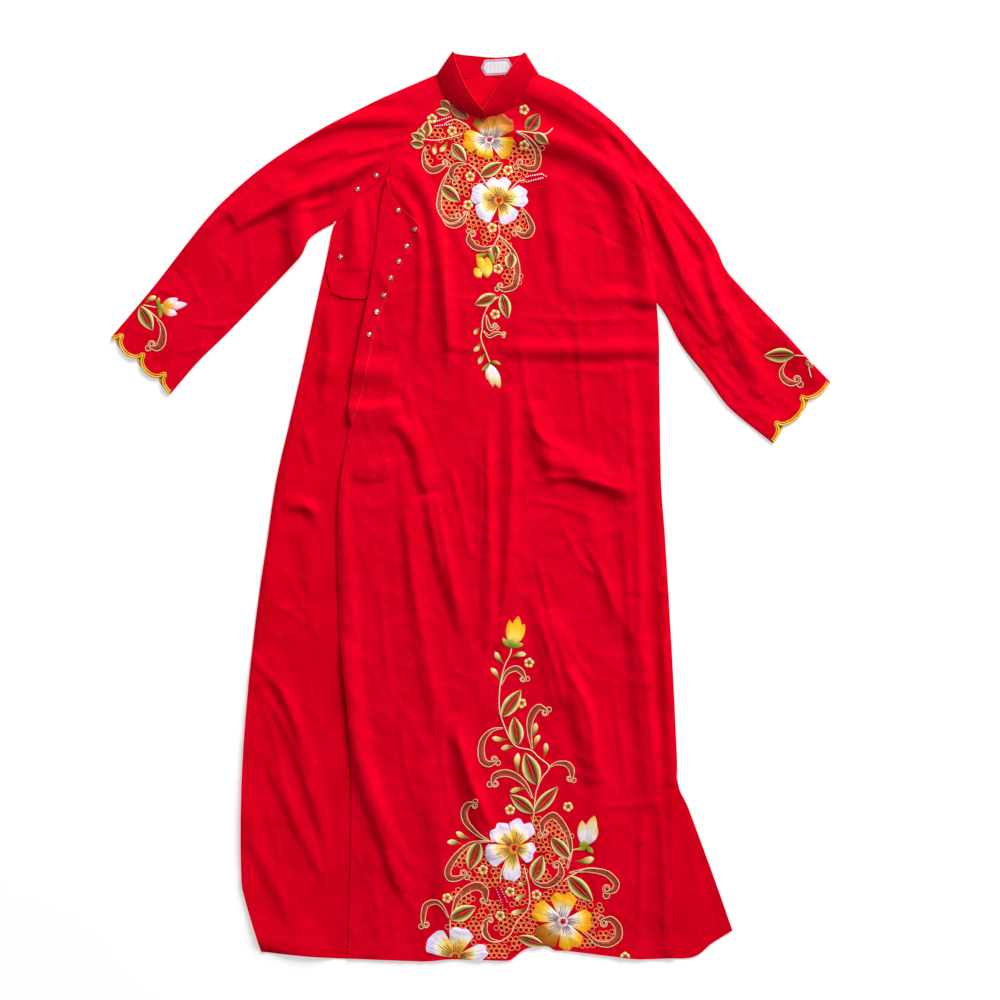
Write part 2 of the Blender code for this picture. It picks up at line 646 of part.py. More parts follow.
def build_sleeve(name, edges, seams, share, scallops, fold_crests, carrier, collection, material):
    """A flattened tube up to the underarm, then its two layers folded at the shoulder's edge."""
    front = sleeve_layer(*edges, seams[0], share, scallops)
    back = sleeve_layer(*edges, seams[1], share, scallops)
    seam_line = smooth_line(seams[0], EDGE_STEP)
    bm = bmesh.new()
    rings = []
    for (front_row, reach_out, reach_in), (back_row, _, _) in zip(front, back):
        top = []
        for x, y in front_row:
            clear = smooth_step(nearest_on_line(x, y, seam_line)[0], 12, 34)
            top.append((x, y, SLEEVE_FRONT_LEVEL + clear * lift(x, y, fold_crests)))
        base = [(x, y, BACK_LEVEL) for x, y in reversed(back_row)]
        ring = [*base, *folded_side(base[-1], top[0], reach_out.to_3d(), SLEEVE_FOLD_TURNS), *top]
        if reach_in.length:
            ring += folded_side(top[-1], base[0], reach_in.to_3d(), SLEEVE_FOLD_TURNS)
        rings.append([bm.verts.new(Vector(point) * MM) for point in ring])
    for low, high in zip(rings, rings[1:]):
        closed = len(low) == len(high) == len(rings[0])
        for i in range(len(high) if closed else len(high) - 1):
            j = (i + 1) % len(low)
            bm.faces.new((low[i], low[j], high[j], high[i]))
    sew(name, bm, CLOTH_WALL, material, carrier, collection)


def collar_side(start, end, side):
    """Rows round a folded side of the collar: side is -1 on the wearer's right, 1 on the left."""
    outward = Vector((start[4] - start[1], start[0] - start[3])).normalized().to_3d()
    reach = outward * COLLAR_FOLD_RADIUS * side
    seam = folded_side(start[:3], end[:3], reach, COLLAR_FOLD_TURNS)
    free = folded_side(start[3:], end[3:], reach, COLLAR_FOLD_TURNS)
    return [(*low, *high) for low, high in zip(seam, free)]


def build_collar(carrier, collection, material):
    """The stand collar's band: a loop pressed flat, its right end over its left."""
    rows = [
        *COLLAR_FRONT_RIGHT[::-1],
        *collar_side(COLLAR_FRONT_RIGHT[0], COLLAR_BACK[0], -1),
        *COLLAR_BACK,
        *collar_side(COLLAR_BACK[-1], COLLAR_FRONT_LEFT[-1], 1),
        *COLLAR_FRONT_LEFT[::-1],
    ]
    bm = bmesh.new()
    columns = []
    for row in rows:
        seam, free = Vector(row[:3]), Vector(row[3:])
        columns.append([bm.verts.new(seam.lerp(free, share) * MM) for share in COLLAR_COLUMNS])
    for left, right in zip(columns, columns[1:]):
        for a, b, c, d in zip(left, left[1:], right[1:], right):
            bm.faces.new((a, b, c, d))
    sew("collar", bm, COLLAR_WALL, material, carrier, collection)


def build_label(carrier, collection, material):
    """A bare woven label with pointed ends, sewn inside the collar's back."""
    half_length, half_width = LABEL_LENGTH / 2, LABEL_WIDTH / 2
    shoulder = half_length - LABEL_POINT
    outline = (
        (-half_length, 0), (-shoulder, -half_width), (shoulder, -half_width), (half_length, 0),
        (shoulder, half_width), (-shoulder, half_width),
    )
    curve = bpy.data.curves.new("neck_label", "CURVE")
    curve.dimensions = "2D"
    curve.fill_mode = "BOTH"
    curve.extrude = LABEL_WALL / 2 * MM
    spline = curve.splines.new("POLY")
    spline.points.add(len(outline) - 1)
    for point, (x, y) in zip(spline.points, outline):
        point.co = (x * MM, y * MM, 0, 1)
    spline.use_cyclic_u = True
    label = place("neck_label", curve, material, carrier, collection)
    height = COLLAR_WALL + SEAT_GAP + LABEL_WALL / 2
    label.location = (LABEL_CENTRE[0] * MM, LABEL_CENTRE[1] * MM, height * MM)
    weld = label.modifiers.new("closed", "WELD")
    weld.merge_threshold = 0.00005


def stud_mesh():
    """Half a press stud: a dished disc with a raised knob, turned round its axis."""
    profile = (
        (0, STUD_HEIGHT), (0.8, STUD_HEIGHT), (1.2, 1.1), (STUD_RADIUS - 0.8, 0.9),
        (STUD_RADIUS, 0.5), (STUD_RADIUS, 0), (0, 0),
    )
    bm = bmesh.new()
    verts = [bm.verts.new((r * MM, 0, z * MM)) for r, z in profile]
    edges = [bm.edges.new(pair) for pair in zip(verts, verts[1:])]
    bmesh.ops.spin(
        bm, geom=verts + edges, angle=2 * math.pi, steps=STUD_SIDES, axis=(0, 0, 1),
        cent=(0, 0, 0), use_merge=True,
    )
    bmesh.ops.remove_doubles(bm, verts=bm.verts, dist=0.00001)
    bmesh.ops.recalc_face_normals(bm, faces=bm.faces)
    mesh = bpy.data.meshes.new("stud")
    bm.to_mesh(mesh)
    bm.free()
    return mesh


def seat_stud(name, mesh, x, y, cloth, carrier, collection, material):
    """Set a stud just clear of the cloth under it, square to the cloth's slope."""
    touched = [cloth.ray_cast(Vector((x * MM, y * MM, 1)), Vector((0, 0, -1)))[0]]
    for reach in (STUD_RADIUS, STUD_RADIUS / 2):
        for i in range(STUD_SIDES):
            turn = 2 * math.pi * i / STUD_SIDES
            start = Vector((x + reach * math.cos(turn), y + reach * math.sin(turn), 1 / MM)) * MM
            touched.append(cloth.ray_cast(start, Vector((0, 0, -1)))[0])
    quarter = STUD_SIDES // 4
    slope_x = (touched[1].z - touched[1 + 2 * quarter].z) / (2 * STUD_RADIUS * MM)
    slope_y = (touched[1 + quarter].z - touched[1 + 3 * quarter].z) / (2 * STUD_RADIUS * MM)
    up = Vector((-slope_x, -slope_y, 1)).normalized()
    clear = max((point - touched[0]).dot(up) for point in touched)
    stud = bpy.data.objects.new(name, mesh)
    collection.objects.link(stud)
    stud.parent = carrier
    stud.location = touched[0] + up * (clear + SEAT_GAP * MM)
    stud.rotation_euler = up.to_track_quat("Z", "Y").to_euler()
    if not mesh.materials:
        mesh.materials.append(material)


def surface_of(piece):
    """A piece's finished surface, to seat other pieces on."""
    bpy.context.view_layer.update()
    return BVHTree.FromObject(piece, bpy.context.evaluated_depsgraph_get())


def centre_on_base(carrier, collection):
    """Move the tunic so that the middle of its spread is at the origin and it rests on Z = 0."""
    bpy.context.view_layer.update()
    graph = bpy.context.evaluated_depsgraph_get()
    points = []
    for piece in collection.objects:
        if piece.type != "EMPTY":
            shape = piece.evaluated_get(graph)
            points += [shape.matrix_world @ v.co for v in shape.to_mesh().vertices]
            shape.to_mesh_clear()
    low = [min(p[i] for p in points) for i in range(3)]
    high = [max(p[i] for p in points) for i in range(3)]
    carrier.location = (-(low[0] + high[0]) / 2, -(low[1] + high[1]) / 2, -low[2])


def main():
    for old in list(bpy.data.objects):
        bpy.data.objects.remove(old, do_unlink=True)
    collection = bpy.data.collections.new("ao_dai_tunic")
    bpy.context.scene.collection.children.link(collection)
    carrier = bpy.data.objects.new("tunic_plan", None)
    collection.objects.link(carrier)
    cloth = paint("red_crepe", CLOTH_RED, 0.6)
    steel = paint("stud_steel", STUD_STEEL, 0.3, 1.0)

    build_back(carrier, collection, cloth)
    build_front(carrier, collection, cloth)
    build_underlap(carrier, collection, cloth)
    build_sleeve(
        "sleeve_right", RIGHT_EDGES, (RIGHT_FRONT_RAGLAN, RIGHT_BACK_RAGLAN),
        RIGHT_UNDERARM_SHARE, RIGHT_SCALLOPS, RIGHT_SLEEVE_CRESTS, carrier, collection, cloth,
    )
    build_sleeve(
        "sleeve_left", LEFT_EDGES, (LEFT_FRONT_RAGLAN, LEFT_BACK_RAGLAN),
        LEFT_UNDERARM_SHARE, LEFT_SCALLOPS, LEFT_SLEEVE_CRESTS, carrier, collection, cloth,
    )
    build_collar(carrier, collection, paint("collar_crepe", COLLAR_RED, 0.6))
    build_label(carrier, collection, paint("label_weave", LABEL_WHITE, 0.8))

    stud = stud_mesh()
    for cloth_name, stud_name, places in (
        ("front_panel", "stud_flap", FLAP_STUDS),
        ("sleeve_right", "stud_sleeve", SLEEVE_STUDS),
        ("underlap", "stud_underlap", UNDERLAP_STUDS),
    ):
        surface = surface_of(collection.objects[cloth_name])
        for number, (x, y) in enumerate(places, 1):
            seat_stud(f"{stud_name}_{number}", stud, x, y, surface, carrier, collection, steel)
    centre_on_base(carrier, collection)


main()
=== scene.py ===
# %% [markdown]
# # An ao dai tunic of red crepe, laid flat
# This lesson dresses a plain CAD model of a long Vietnamese tunic so that it looks like cloth.
# Each step says what the real piece is, how it could be made in Blender, and why this way was
# chosen. Sizes are in millimetres on the tunic's plan: X across, Y up from the hem, Z up from
# the table. The plan's zero is the middle of the tunic at the hem.

# %% Load the CAD frame
import math

import bmesh
import bpy
import numpy as np
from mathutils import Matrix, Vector
from mathutils.geometry import delaunay_2d_cdt
from mathutils.kdtree import KDTree


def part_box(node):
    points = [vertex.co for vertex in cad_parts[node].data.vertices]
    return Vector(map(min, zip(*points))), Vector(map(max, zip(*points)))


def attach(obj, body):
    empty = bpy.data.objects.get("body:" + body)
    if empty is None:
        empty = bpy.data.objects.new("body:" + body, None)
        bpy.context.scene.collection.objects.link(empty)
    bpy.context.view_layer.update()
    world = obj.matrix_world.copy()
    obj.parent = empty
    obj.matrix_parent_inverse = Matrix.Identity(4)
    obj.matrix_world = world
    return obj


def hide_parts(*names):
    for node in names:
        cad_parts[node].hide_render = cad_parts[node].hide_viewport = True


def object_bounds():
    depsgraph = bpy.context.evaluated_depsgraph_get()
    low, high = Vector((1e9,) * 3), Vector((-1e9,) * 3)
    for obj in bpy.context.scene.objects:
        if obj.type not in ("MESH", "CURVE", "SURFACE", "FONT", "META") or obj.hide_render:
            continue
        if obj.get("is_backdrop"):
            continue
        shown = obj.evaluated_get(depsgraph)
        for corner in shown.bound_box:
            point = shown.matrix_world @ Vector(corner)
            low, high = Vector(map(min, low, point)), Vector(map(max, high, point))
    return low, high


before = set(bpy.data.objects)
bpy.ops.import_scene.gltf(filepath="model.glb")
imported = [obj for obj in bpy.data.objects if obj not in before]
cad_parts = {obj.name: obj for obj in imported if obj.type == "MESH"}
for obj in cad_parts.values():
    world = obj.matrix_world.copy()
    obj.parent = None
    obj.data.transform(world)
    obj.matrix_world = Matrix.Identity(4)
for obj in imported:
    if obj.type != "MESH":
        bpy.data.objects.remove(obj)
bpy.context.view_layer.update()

# %% [markdown]
# ## From the plan to the frame
# The CAD model stands with its middle at the origin, while the plan starts at the hem. One shift
# joins the two, so every size below can stay a plain millimetre on the plan. The embroidery has
# a chart of its own, with squares of 1.45 mm: columns count from the left and rows from the top,
# as on a stitcher's chart. Its column 472 is the middle of the plan and its row 961 the hem.

# %% Plan and chart
MM = 0.001
PLAN_MIDDLE = np.array((-3.02, 658.72, 0.0))
CHART_SQUARE, CHART_MIDDLE, CHART_HEM = 1.45, 472, 961


def on_frame(points):
    """Points of the plan, in mm, as points of the frame, in metres."""
    return (np.asarray(points, float) - PLAN_MIDDLE) * MM


def chart(points):
    """Chart squares (column, row) as plan millimetres."""
    column, row = np.moveaxis(np.asarray(points, float), -1, 0)
    return np.stack((column - CHART_MIDDLE, CHART_HEM - row), -1) * CHART_SQUARE


front_low, front_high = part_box("front_panel")
print("front hem to neck in the frame, mm:", round(1000 * front_low.y), round(1000 * front_high.y))

# %% [markdown]
# ## Smooth lines
# A pattern cutter draws an edge through a few marks with a curved ruler. A Catmull-Rom curve
# does the same: it passes through every mark and bends evenly between them.

# %% Curves through marks


def smooth_line(points, step):
    """Points about a step apart on a smooth curve through the given marks."""
    marks = np.asarray(points, float)
    padded = np.vstack((marks[:1], marks, marks[-1:]))
    line = []
    for a, b, c, d in zip(padded, padded[1:], padded[2:], padded[3:]):
        count = max(1, round(np.linalg.norm((c - b)[:3]) / step))
        t = np.arange(count)[:, None] / count
        line.append(0.5 * (2 * b + (c - a) * t + (2 * a - 5 * b + 4 * c - d) * t * t
                           + (3 * b - a - 3 * c + d) * t ** 3))
    return np.vstack((*line, marks[-1:]))


def lengths_along(line):
    """How far each point of a line is from its start."""
    return np.concatenate(([0], np.cumsum(np.linalg.norm(np.diff(line, axis=0), axis=1))))


def evenly(line, fractions):
    """The points at those fractions of a line's length."""
    lengths = lengths_along(line)
    places = np.asarray(fractions) * lengths[-1]
    return np.stack([np.interp(places, lengths, line[:, i]) for i in range(line.shape[1])], -1)


def joined(*lines):
    """A closed border from lines that meet end to end."""
    border = []
    for point in np.vstack(lines):
        if not border or np.linalg.norm(point - border[-1]) > 0.5:
            border.append(point)
    return np.array(border if np.linalg.norm(border[0] - border[-1]) > 0.5 else border[:-1])


def sideways(path):
    """Unit vectors to the left of a path."""
    run = np.gradient(path, axis=0)
    return np.stack((-run[:, 1], run[:, 0]), -1) / np.maximum(np.linalg.norm(run, axis=1), 1e-9)[:, None]


def round_points(centre, radius, turns):
    """Points round a centre, one at each turn in radians."""
    return centre + radius * np.stack((np.cos(turns), np.sin(turns)), -1)


def smooth_step(value, start, end):
    """A share that goes softly from 0 at the start to 1 at the end."""
    t = np.clip((value - start) / (end - start), 0, 1)
    return t * t * (3 - 2 * t)


# %% [markdown]
# ## Folds placed one by one
# Crepe that has been worn and laid down keeps soft folds. Cloth simulation gives folds of its
# own choosing, so here each main fold is listed: a crest line of three marks, how far
# it spreads on its two sides, and how high it stands. Real folds are never even: one side is
# steeper than the other, and a fold fades out towards its ends.

# %% The shape of one fold
KEY_SIDE = np.array((0.75, 0.66))


def distance_to_line(places, line):
    """How far each place is from a line, on which side, and how far along its nearest point is."""
    best = np.full(len(places), np.inf)
    side = np.zeros(len(places))
    along = np.zeros(len(places))
    for i, (a, b) in enumerate(zip(line, line[1:])):
        run = b - a
        t = np.clip((places - a) @ run / max(run @ run, 1e-9), 0, 1)
        offset = places - a - t[:, None] * run
        distance = np.hypot(offset[:, 0], offset[:, 1])
        nearer = distance < best
        best[nearer] = distance[nearer]
        side[nearer] = (offset @ KEY_SIDE)[nearer]
        along[nearer] = (i + t[nearer]) / (len(line) - 1)
    return best, side, along


def folds_at(places, folds):
    """Height that folds add at each place. A fold is x, y of three marks on its crest, its
    spread towards the light and away from it, and its height; a hollow's height is negative."""
    total = np.zeros(len(places))
    for *marks, near, far, height in folds:
        line = smooth_line(np.reshape(marks, (3, 2)), 12)
        reach = max(near, far)
        low, high = line.min(0) - reach, line.max(0) + reach
        close = np.flatnonzero(((places > low) & (places < high)).all(1))
        if not len(close):
            continue
        distance, side, along = distance_to_line(places[close], line)
        share = np.clip(distance / np.where(side > 0, near, far), 0, 1)
        total[close] += height * (0.5 + 0.5 * np.cos(np.pi * share)) * np.sin(np.pi * along) ** 0.6
    return total


# %% [markdown]
# ## Fine rumpling
# Between the main folds the cloth is never quite flat: it carries shallow ripples, longer along
# the fall of the cloth than across it. A seeded noise of random slopes makes them, the same at
# each run. Its ridges, where the noise passes through zero, are the thin creases of handling.

# %% Ripples and creases from seeded noise


def noise_at(places, across, down, turn, seed):
    """Smooth noise from -1 to 1 with bumps of that size in mm, the grid turned by some degrees."""
    rng = np.random.default_rng(seed)
    slopes = rng.uniform(0, 2 * np.pi, (64, 64))
    c, s = math.cos(math.radians(turn)), math.sin(math.radians(turn))
    u = (places[:, 0] * c + places[:, 1] * s) / across
    v = (places[:, 1] * c - places[:, 0] * s) / down
    i, j = np.floor(u).astype(int), np.floor(v).astype(int)
    fu, fv = u - i, v - j
    wu, wv = (f * f * f * (f * (6 * f - 15) + 10) for f in (fu, fv))
    corner = {}
    for di in (0, 1):
        for dj in (0, 1):
            angle = slopes[(i + di) % 64, (j + dj) % 64]
            corner[di, dj] = np.cos(angle) * (fu - di) + np.sin(angle) * (fv - dj)
    low = corner[0, 0] * (1 - wu) + corner[1, 0] * wu
    high = corner[0, 1] * (1 - wu) + corner[1, 1] * wu
    return 1.4 * (low * (1 - wv) + high * wv)


def rumpled(places, turn=0, seed=1, strength=1.0):
    """Shallow ripples along the fall of the cloth, with thin creases across them."""
    bent = places + 14 * np.stack((noise_at(places, 90, 120, 20, seed + 7),
                                   noise_at(places, 110, 90, 50, seed + 8)), -1)
    wide = noise_at(bent, 34, 150, turn, seed)
    fine = noise_at(bent, 17, 60, turn - 12, seed + 1)
    crease = (1 - np.abs(noise_at(bent, 42, 95, turn + 24, seed + 2))) ** 7
    crease += (1 - np.abs(noise_at(bent, 60, 48, turn - 35, seed + 3))) ** 9
    return strength * (1.05 * wide + 0.5 * fine + 0.9 * (crease - 0.35))


# %% [markdown]
# ## The cutting plan
# These are the edges of the pieces as they lie, the same ones that the CAD model is cut to. The
# front is one cloth with its side opening turned back over it, so it has a fold line and, past
# it, the flap's two free edges.

# %% Edges of the front
FRONT_NECK = ((-33, 1256), (-17, 1241), (0, 1232), (16, 1228), (35, 1234), (55, 1246), (72, 1258))
FRONT_LEFT_RAGLAN = (
    (76, 1254), (94, 1237), (110, 1218), (128, 1199), (151, 1183), (174, 1172), (197, 1161), (210, 1156),
)
FRONT_LEFT_SIDE = (
    (210, 1156), (220, 1140), (231, 1127), (241, 1112), (239, 1095), (242, 1076), (248, 1053), (261, 998),
    (267, 958), (271, 905), (272, 828), (274, 697), (280, 610), (289, 458), (296, 320), (297, 270),
    (292, 225), (291, 90), (294, 23), (296, 4),
)
FRONT_HEM = (
    (296, 4), (244, 2), (204, 6), (171, 10), (138, 14), (120, 15), (109, 21), (88, 20), (74, 15), (60, 4),
    (50, 0), (12, 1), (-30, 2), (-66, -1), (-104, 0), (-180, 3),
)
FRONT_SLIT = (
    (-180, 3), (-177, 117), (-175, 277), (-181, 364), (-190, 451), (-196, 580), (-194, 668), (-184, 741),
    (-175, 779),
)
OPENING_FOLD = (
    (-175, 779), (-178, 806), (-172, 850), (-162, 906), (-151, 958), (-139, 1031), (-132, 1093), (-123, 1135),
)
FLAP_RAGLAN_EDGE = ((-123, 1135), (-120, 1115), (-107, 1095), (-93, 1081), (-76, 1063))
FLAP_SIDE_EDGE = (
    (-76, 1063), (-93, 1027), (-117, 980), (-136, 932), (-144, 903), (-154, 853), (-165, 808), (-175, 779),
)
FRONT_RIGHT_RAGLAN = (
    (-123, 1135), (-119, 1147), (-114, 1164), (-91, 1179), (-75, 1198), (-61, 1219), (-36, 1253),
)

# %% Edges of the back and the inner flap
BACK_RIGHT_SIDE = (
    (-201, 1065), (-206, 1044), (-215, 1002), (-225, 958), (-244, 871), (-264, 784), (-284, 697),
    (-297, 610), (-310, 523), (-325, 393), (-334, 262), (-335, 132), (-329, 88), (-306, 13),
)
BACK_HEM = (
    (-306, 13), (-190, 3), (-75, 4), (40, 5), (62, 9), (78, 22), (92, 27), (120, 24), (150, 17),
    (175, 14), (244, 7), (316, 4), (348, 25), (378, 44),
)
BACK_LEFT_SIDE = (
    (378, 44), (347, 132), (315, 219), (297, 268), (287, 407), (276, 581), (267, 755), (267, 900),
    (263, 956),
)
BACK_NECK = ((80, 1281), (48, 1284), (14, 1284), (-16, 1284), (-31, 1281))
UNDERLAP_SEAM_START = (-113, 1156)
UNDERLAP_SIDE = ((-201, 1066), (-206, 1045), (-212, 1005), (-209, 987), (-204, 969))
UNDERLAP_HEM = ((-204, 969), (-177, 961), (-107, 960))
UNDERLAP_INNER = ((-107, 960), (-92, 1045), (-107, 1150))

# %% Edges of the sleeves
RIGHT_OUTER = (
    (-515, 914), (-460, 980), (-392, 1067), (-351, 1111), (-300, 1154), (-233, 1198), (-152, 1241),
    (-104, 1263), (-46, 1288),
)
RIGHT_INNER = (
    (-427, 835), (-396, 871), (-351, 915), (-267, 1002), (-247, 1024), (-237, 1046), (-221, 1059),
    (-200, 1070),
)
LEFT_OUTER = (
    (508, 849), (450, 914), (387, 980), (366, 1006), (348, 1045), (300, 1111), (244, 1176), (202, 1219),
    (144, 1263), (91, 1288),
)
LEFT_INNER = ((423, 762), (373, 803), (338, 850), (304, 893), (281, 937), (266, 957))
RIGHT_FRONT_RAGLAN = (
    (-200, 1070), (-188, 1080), (-171, 1099), (-148, 1121), (-109, 1154), (-81, 1174), (-51, 1214),
    (-30, 1252),
)
RIGHT_BACK_RAGLAN = ((-200, 1070), (-170, 1103), (-126, 1147), (-83, 1190), (-52, 1234), (-30, 1277))
LEFT_FRONT_RAGLAN = (
    (266, 957), (252, 995), (233, 1072), (225, 1116), (202, 1147), (170, 1163), (146, 1174), (122, 1190),
    (103, 1211), (72, 1251),
)
LEFT_BACK_RAGLAN = ((266, 957), (246, 1031), (218, 1096), (178, 1147), (130, 1190), (99, 1234), (78, 1277))

# %% [markdown]
# ## How high the cloth lies
# The tunic is a stack: the back on the table, the inner flap on it, then the front, and the
# turned-back opening on top. Each layer has a level, its folds and its rumpling. Crepe is about
# 0.4 mm thick; it is drawn 0.8 mm here, so that the edges of the layers can be seen.

# %% Levels and the front's main folds
CLOTH = 0.8
BACK_LEVEL, UNDERLAP_LEVEL, SLEEVE_LEVEL = 0.6, 2.2, 3.8
SKIRT_LEVEL, CHEST_LEVEL, CHEST_RISE = 2.4, 5.6, (850, 935)
TURN_RADIUS = 1.3
SLEEVE_FOLD_RADIUS = 1.8
FOLD_ANGLES = (30, 60, 90, 120, 150)


def on_plan(folds):
    """Folds whose crests are marked on the chart, as folds on the plan."""
    return [(*chart(np.reshape(fold[:6], (3, 2))).ravel(), *fold[6:]) for fold in folds]


# folds from the neck over the left shoulder to the armhole, on the front and the sleeve alike
SHOULDER_FOLDS = on_plan((
    (512, 86, 566, 103, 616, 146, 36, 34, 15), (496, 131, 566, 142, 648, 192, 10, 36, 14),
    (600, 140, 634, 208, 652, 308, 15, 34, 14), (620, 216, 634, 230, 650, 248, 8, 7, 3),
))
FRONT_FOLDS = SHOULDER_FOLDS + on_plan((
    # beside the slit
    (343, 455, 344, 580, 349, 705, 14, 12, 5), (345, 640, 361, 765, 406, 892, 15, 20, 10),
    # from the opening down
    (386, 178, 420, 236, 418, 362, 12, 11, 5), (402, 160, 434, 212, 449, 352, 18, 20, 8),
    (336, 371, 365, 371, 398, 371, 28, 30, 7), (340, 408, 368, 409, 402, 406, 14, 46, 8),
    (352, 470, 372, 471, 395, 467, 26, 14, 4), (394, 420, 414, 444, 426, 492, 26, 17, 9),
    # chest and waist
    (547, 172, 556, 240, 569, 304, 32, 18, 5.5), (498, 350, 580, 351, 668, 350, 22, 17, 6.5),
    (578, 297, 622, 298, 662, 303, 22, 16, 4), (534, 402, 541, 440, 556, 484, 30, 22, 7),
    (540, 455, 582, 472, 634, 497, 38, 20, 8),
    # the length of the skirt
    (486, 430, 487, 540, 487, 660, 13, 13, 5), (508, 385, 509, 500, 507, 615, 18, 13, 6),
    (426, 495, 442, 560, 462, 632, 24, 15, 7), (404, 455, 414, 590, 438, 735, 26, 18, 5),
    (584, 500, 600, 560, 622, 640, 26, 18, 4), (533, 590, 545, 650, 558, 710, 16, 16, 4),
    (548, 610, 574, 690, 594, 785, 24, 24, 8), (590, 700, 600, 800, 600, 900, 36, 30, 4),
    (454, 715, 469, 780, 492, 860, 26, 22, 8.5), (425, 760, 440, 850, 450, 940, 30, 26, 5),
    # towards the left side seam
    (621, 370, 629, 520, 640, 670, 20, 30, 5), (634, 600, 643, 700, 654, 815, 18, 24, 7),
    (656, 372, 662, 540, 672, 710, 12, 22, 6), (667, 640, 674, 740, 677, 880, 12, 24, 6),
    (676, 790, 673, 871, 676, 957, 10, 44, 6),
))

# %% The front's smaller folds and hollows, on the chart
FRONT_CREASES = on_plan((
    # chest and armhole
    (447, 236, 454, 250, 461, 268, 12, 7, -1.8),
    (440, 240, 446, 300, 449, 375, 12, 8, 2.2),
    (569, 219, 600, 235, 646, 256, 4, 4, -0.8), (622, 205, 640, 228, 648, 240, 10, 7, 2.2),
    (629, 190, 634, 200, 638, 214, 6, 5, 1.8), (590, 205, 604, 240, 612, 280, 10, 8, 0.9),
    (580, 180, 596, 190, 612, 210, 10, 8, 0.7), (534, 190, 530, 230, 532, 270, 9, 7, 0.8),
    # across the waist
    (515, 318, 590, 321, 652, 318, 8, 6, 0.9),
    (560, 368, 600, 372, 650, 366, 10, 8, 0.9),
    (445, 296, 470, 300, 520, 298, 8, 6, 1.0), (446, 346, 470, 350, 500, 349, 7, 6, 0.9),
    (575, 300, 581, 380, 587, 440, 8, 6, 1.4), (626, 360, 632, 420, 633, 470, 12, 9, 2.2),
    (520, 345, 528, 400, 540, 440, 8, 7, 1.4), (600, 380, 606, 430, 612, 470, 10, 8, 0.8),
    # beside the opening
    (352, 476, 372, 479, 392, 475, 8, 8, 1.4), (404, 380, 410, 410, 424, 440, 9, 7, 1.2),
    (378, 268, 384, 280, 390, 296, 7, 6, 1.2), (372, 300, 380, 330, 384, 352, 8, 6, 1.0),
    # down the skirt
    (434, 494, 447, 556, 459, 614, 9, 7, 2.6), (420, 470, 432, 520, 441, 590, 9, 7, 1.2),
    (451, 466, 463, 520, 471, 560, 7, 6, 1.6), (405, 510, 412, 580, 426, 652, 10, 7, 1.8),
    (424, 650, 433, 690, 432, 745, 9, 7, 1.3), (487, 415, 490, 520, 492, 645, 10, 7, 2.8),
    (478, 450, 480, 500, 476, 560, 7, 5, 1.2), (512, 395, 513, 460, 511, 540, 9, 7, 2.6),
    (507, 540, 503, 600, 500, 652, 9, 6, 1.6), (530, 422, 544, 440, 566, 450, 9, 9, 2.2),
    (545, 477, 580, 479, 626, 492, 8, 8, 2.6), (530, 500, 560, 506, 600, 520, 7, 6, 1.0),
    (585, 545, 605, 580, 617, 622, 8, 7, 1.6), (560, 520, 580, 560, 607, 585, 7, 6, 1.2),
    (536, 556, 546, 600, 553, 642, 8, 6, 1.6), (540, 620, 554, 665, 565, 708, 9, 7, 2.8),
    (566, 668, 589, 712, 596, 772, 10, 8, 3.0), (565, 636, 577, 660, 592, 682, 8, 6, 1.5),
    (634, 440, 639, 540, 641, 645, 12, 9, 3.0), (641, 635, 649, 700, 658, 795, 12, 9, 2.8),
    (661, 585, 665, 680, 669, 765, 8, 8, 1.8), (622, 520, 628, 600, 632, 660, 8, 6, 1.2),
    (612, 680, 620, 740, 628, 800, 8, 7, 1.2), (642, 800, 641, 860, 639, 940, 10, 8, 1.6),
    (659, 800, 663, 870, 665, 945, 10, 7, 1.9), (350, 540, 356, 680, 373, 785, 12, 11, 3.0),
    (364, 755, 386, 820, 411, 872, 14, 10, 3.4), (384, 850, 394, 880, 406, 905, 10, 7, 1.8),
    (456, 730, 472, 783, 494, 832, 11, 9, 3.4), (445, 700, 442, 760, 454, 820, 8, 6, 1.2),
    (400, 700, 404, 760, 420, 815, 10, 7, 1.2), (378, 560, 384, 640, 392, 700, 9, 7, 1.0),
    (600, 806, 630, 806, 662, 800, 10, 8, 0.9), (372, 880, 378, 910, 380, 945, 9, 7, 0.9),
))

# %% Hems, and the height of the front
HEM_RISE, SEAM_SINK = 0.45, 0.15
FRONT_HEMS = (
    (FRONT_SLIT, 12), (((-180, 3), (-60, 0), (-20, 2)), 22),
    (((200, 6), (296, 4)), 22), (((296, 4), (291, 90), (292, 225)), 10),
)


def hem_rise(places, edge, width):
    """A hem is two layers of cloth, so it stands a little higher than the single cloth."""
    distance = distance_to_line(places, np.asarray(edge, float))[0]
    doubled = 1 - smooth_step(distance, width - 1.5, width + 1.5)
    return HEM_RISE * doubled - SEAM_SINK * np.exp(-(distance - width) ** 2 / 3)


def settled(height, over, sink):
    """Folds that meet don't pile up: what stands over a limit sinks by a share."""
    return height - sink * np.maximum(height - over, 0)


def front_height(places):
    """The height of the front's cloth at places on the plan."""
    rise = smooth_step(places[:, 1], *CHEST_RISE) * (CHEST_LEVEL - SKIRT_LEVEL)
    height = folds_at(places, FRONT_FOLDS) + 1.6 * folds_at(places, FRONT_CREASES) + rumpled(places, 3, 11)
    for edge, width in FRONT_HEMS:
        height += hem_rise(places, edge, width)
    return SKIRT_LEVEL + rise + np.maximum(settled(height, 12, 0.5), -0.85)


def flap_height(places):
    """The turned-back opening lies on the front, a fold's width above it."""
    hem = hem_rise(places, smooth_line(FLAP_SIDE_EDGE, 12), 9)
    return front_height(places) + 2 * TURN_RADIUS + hem + 0.5 * rumpled(places, 30, 21)


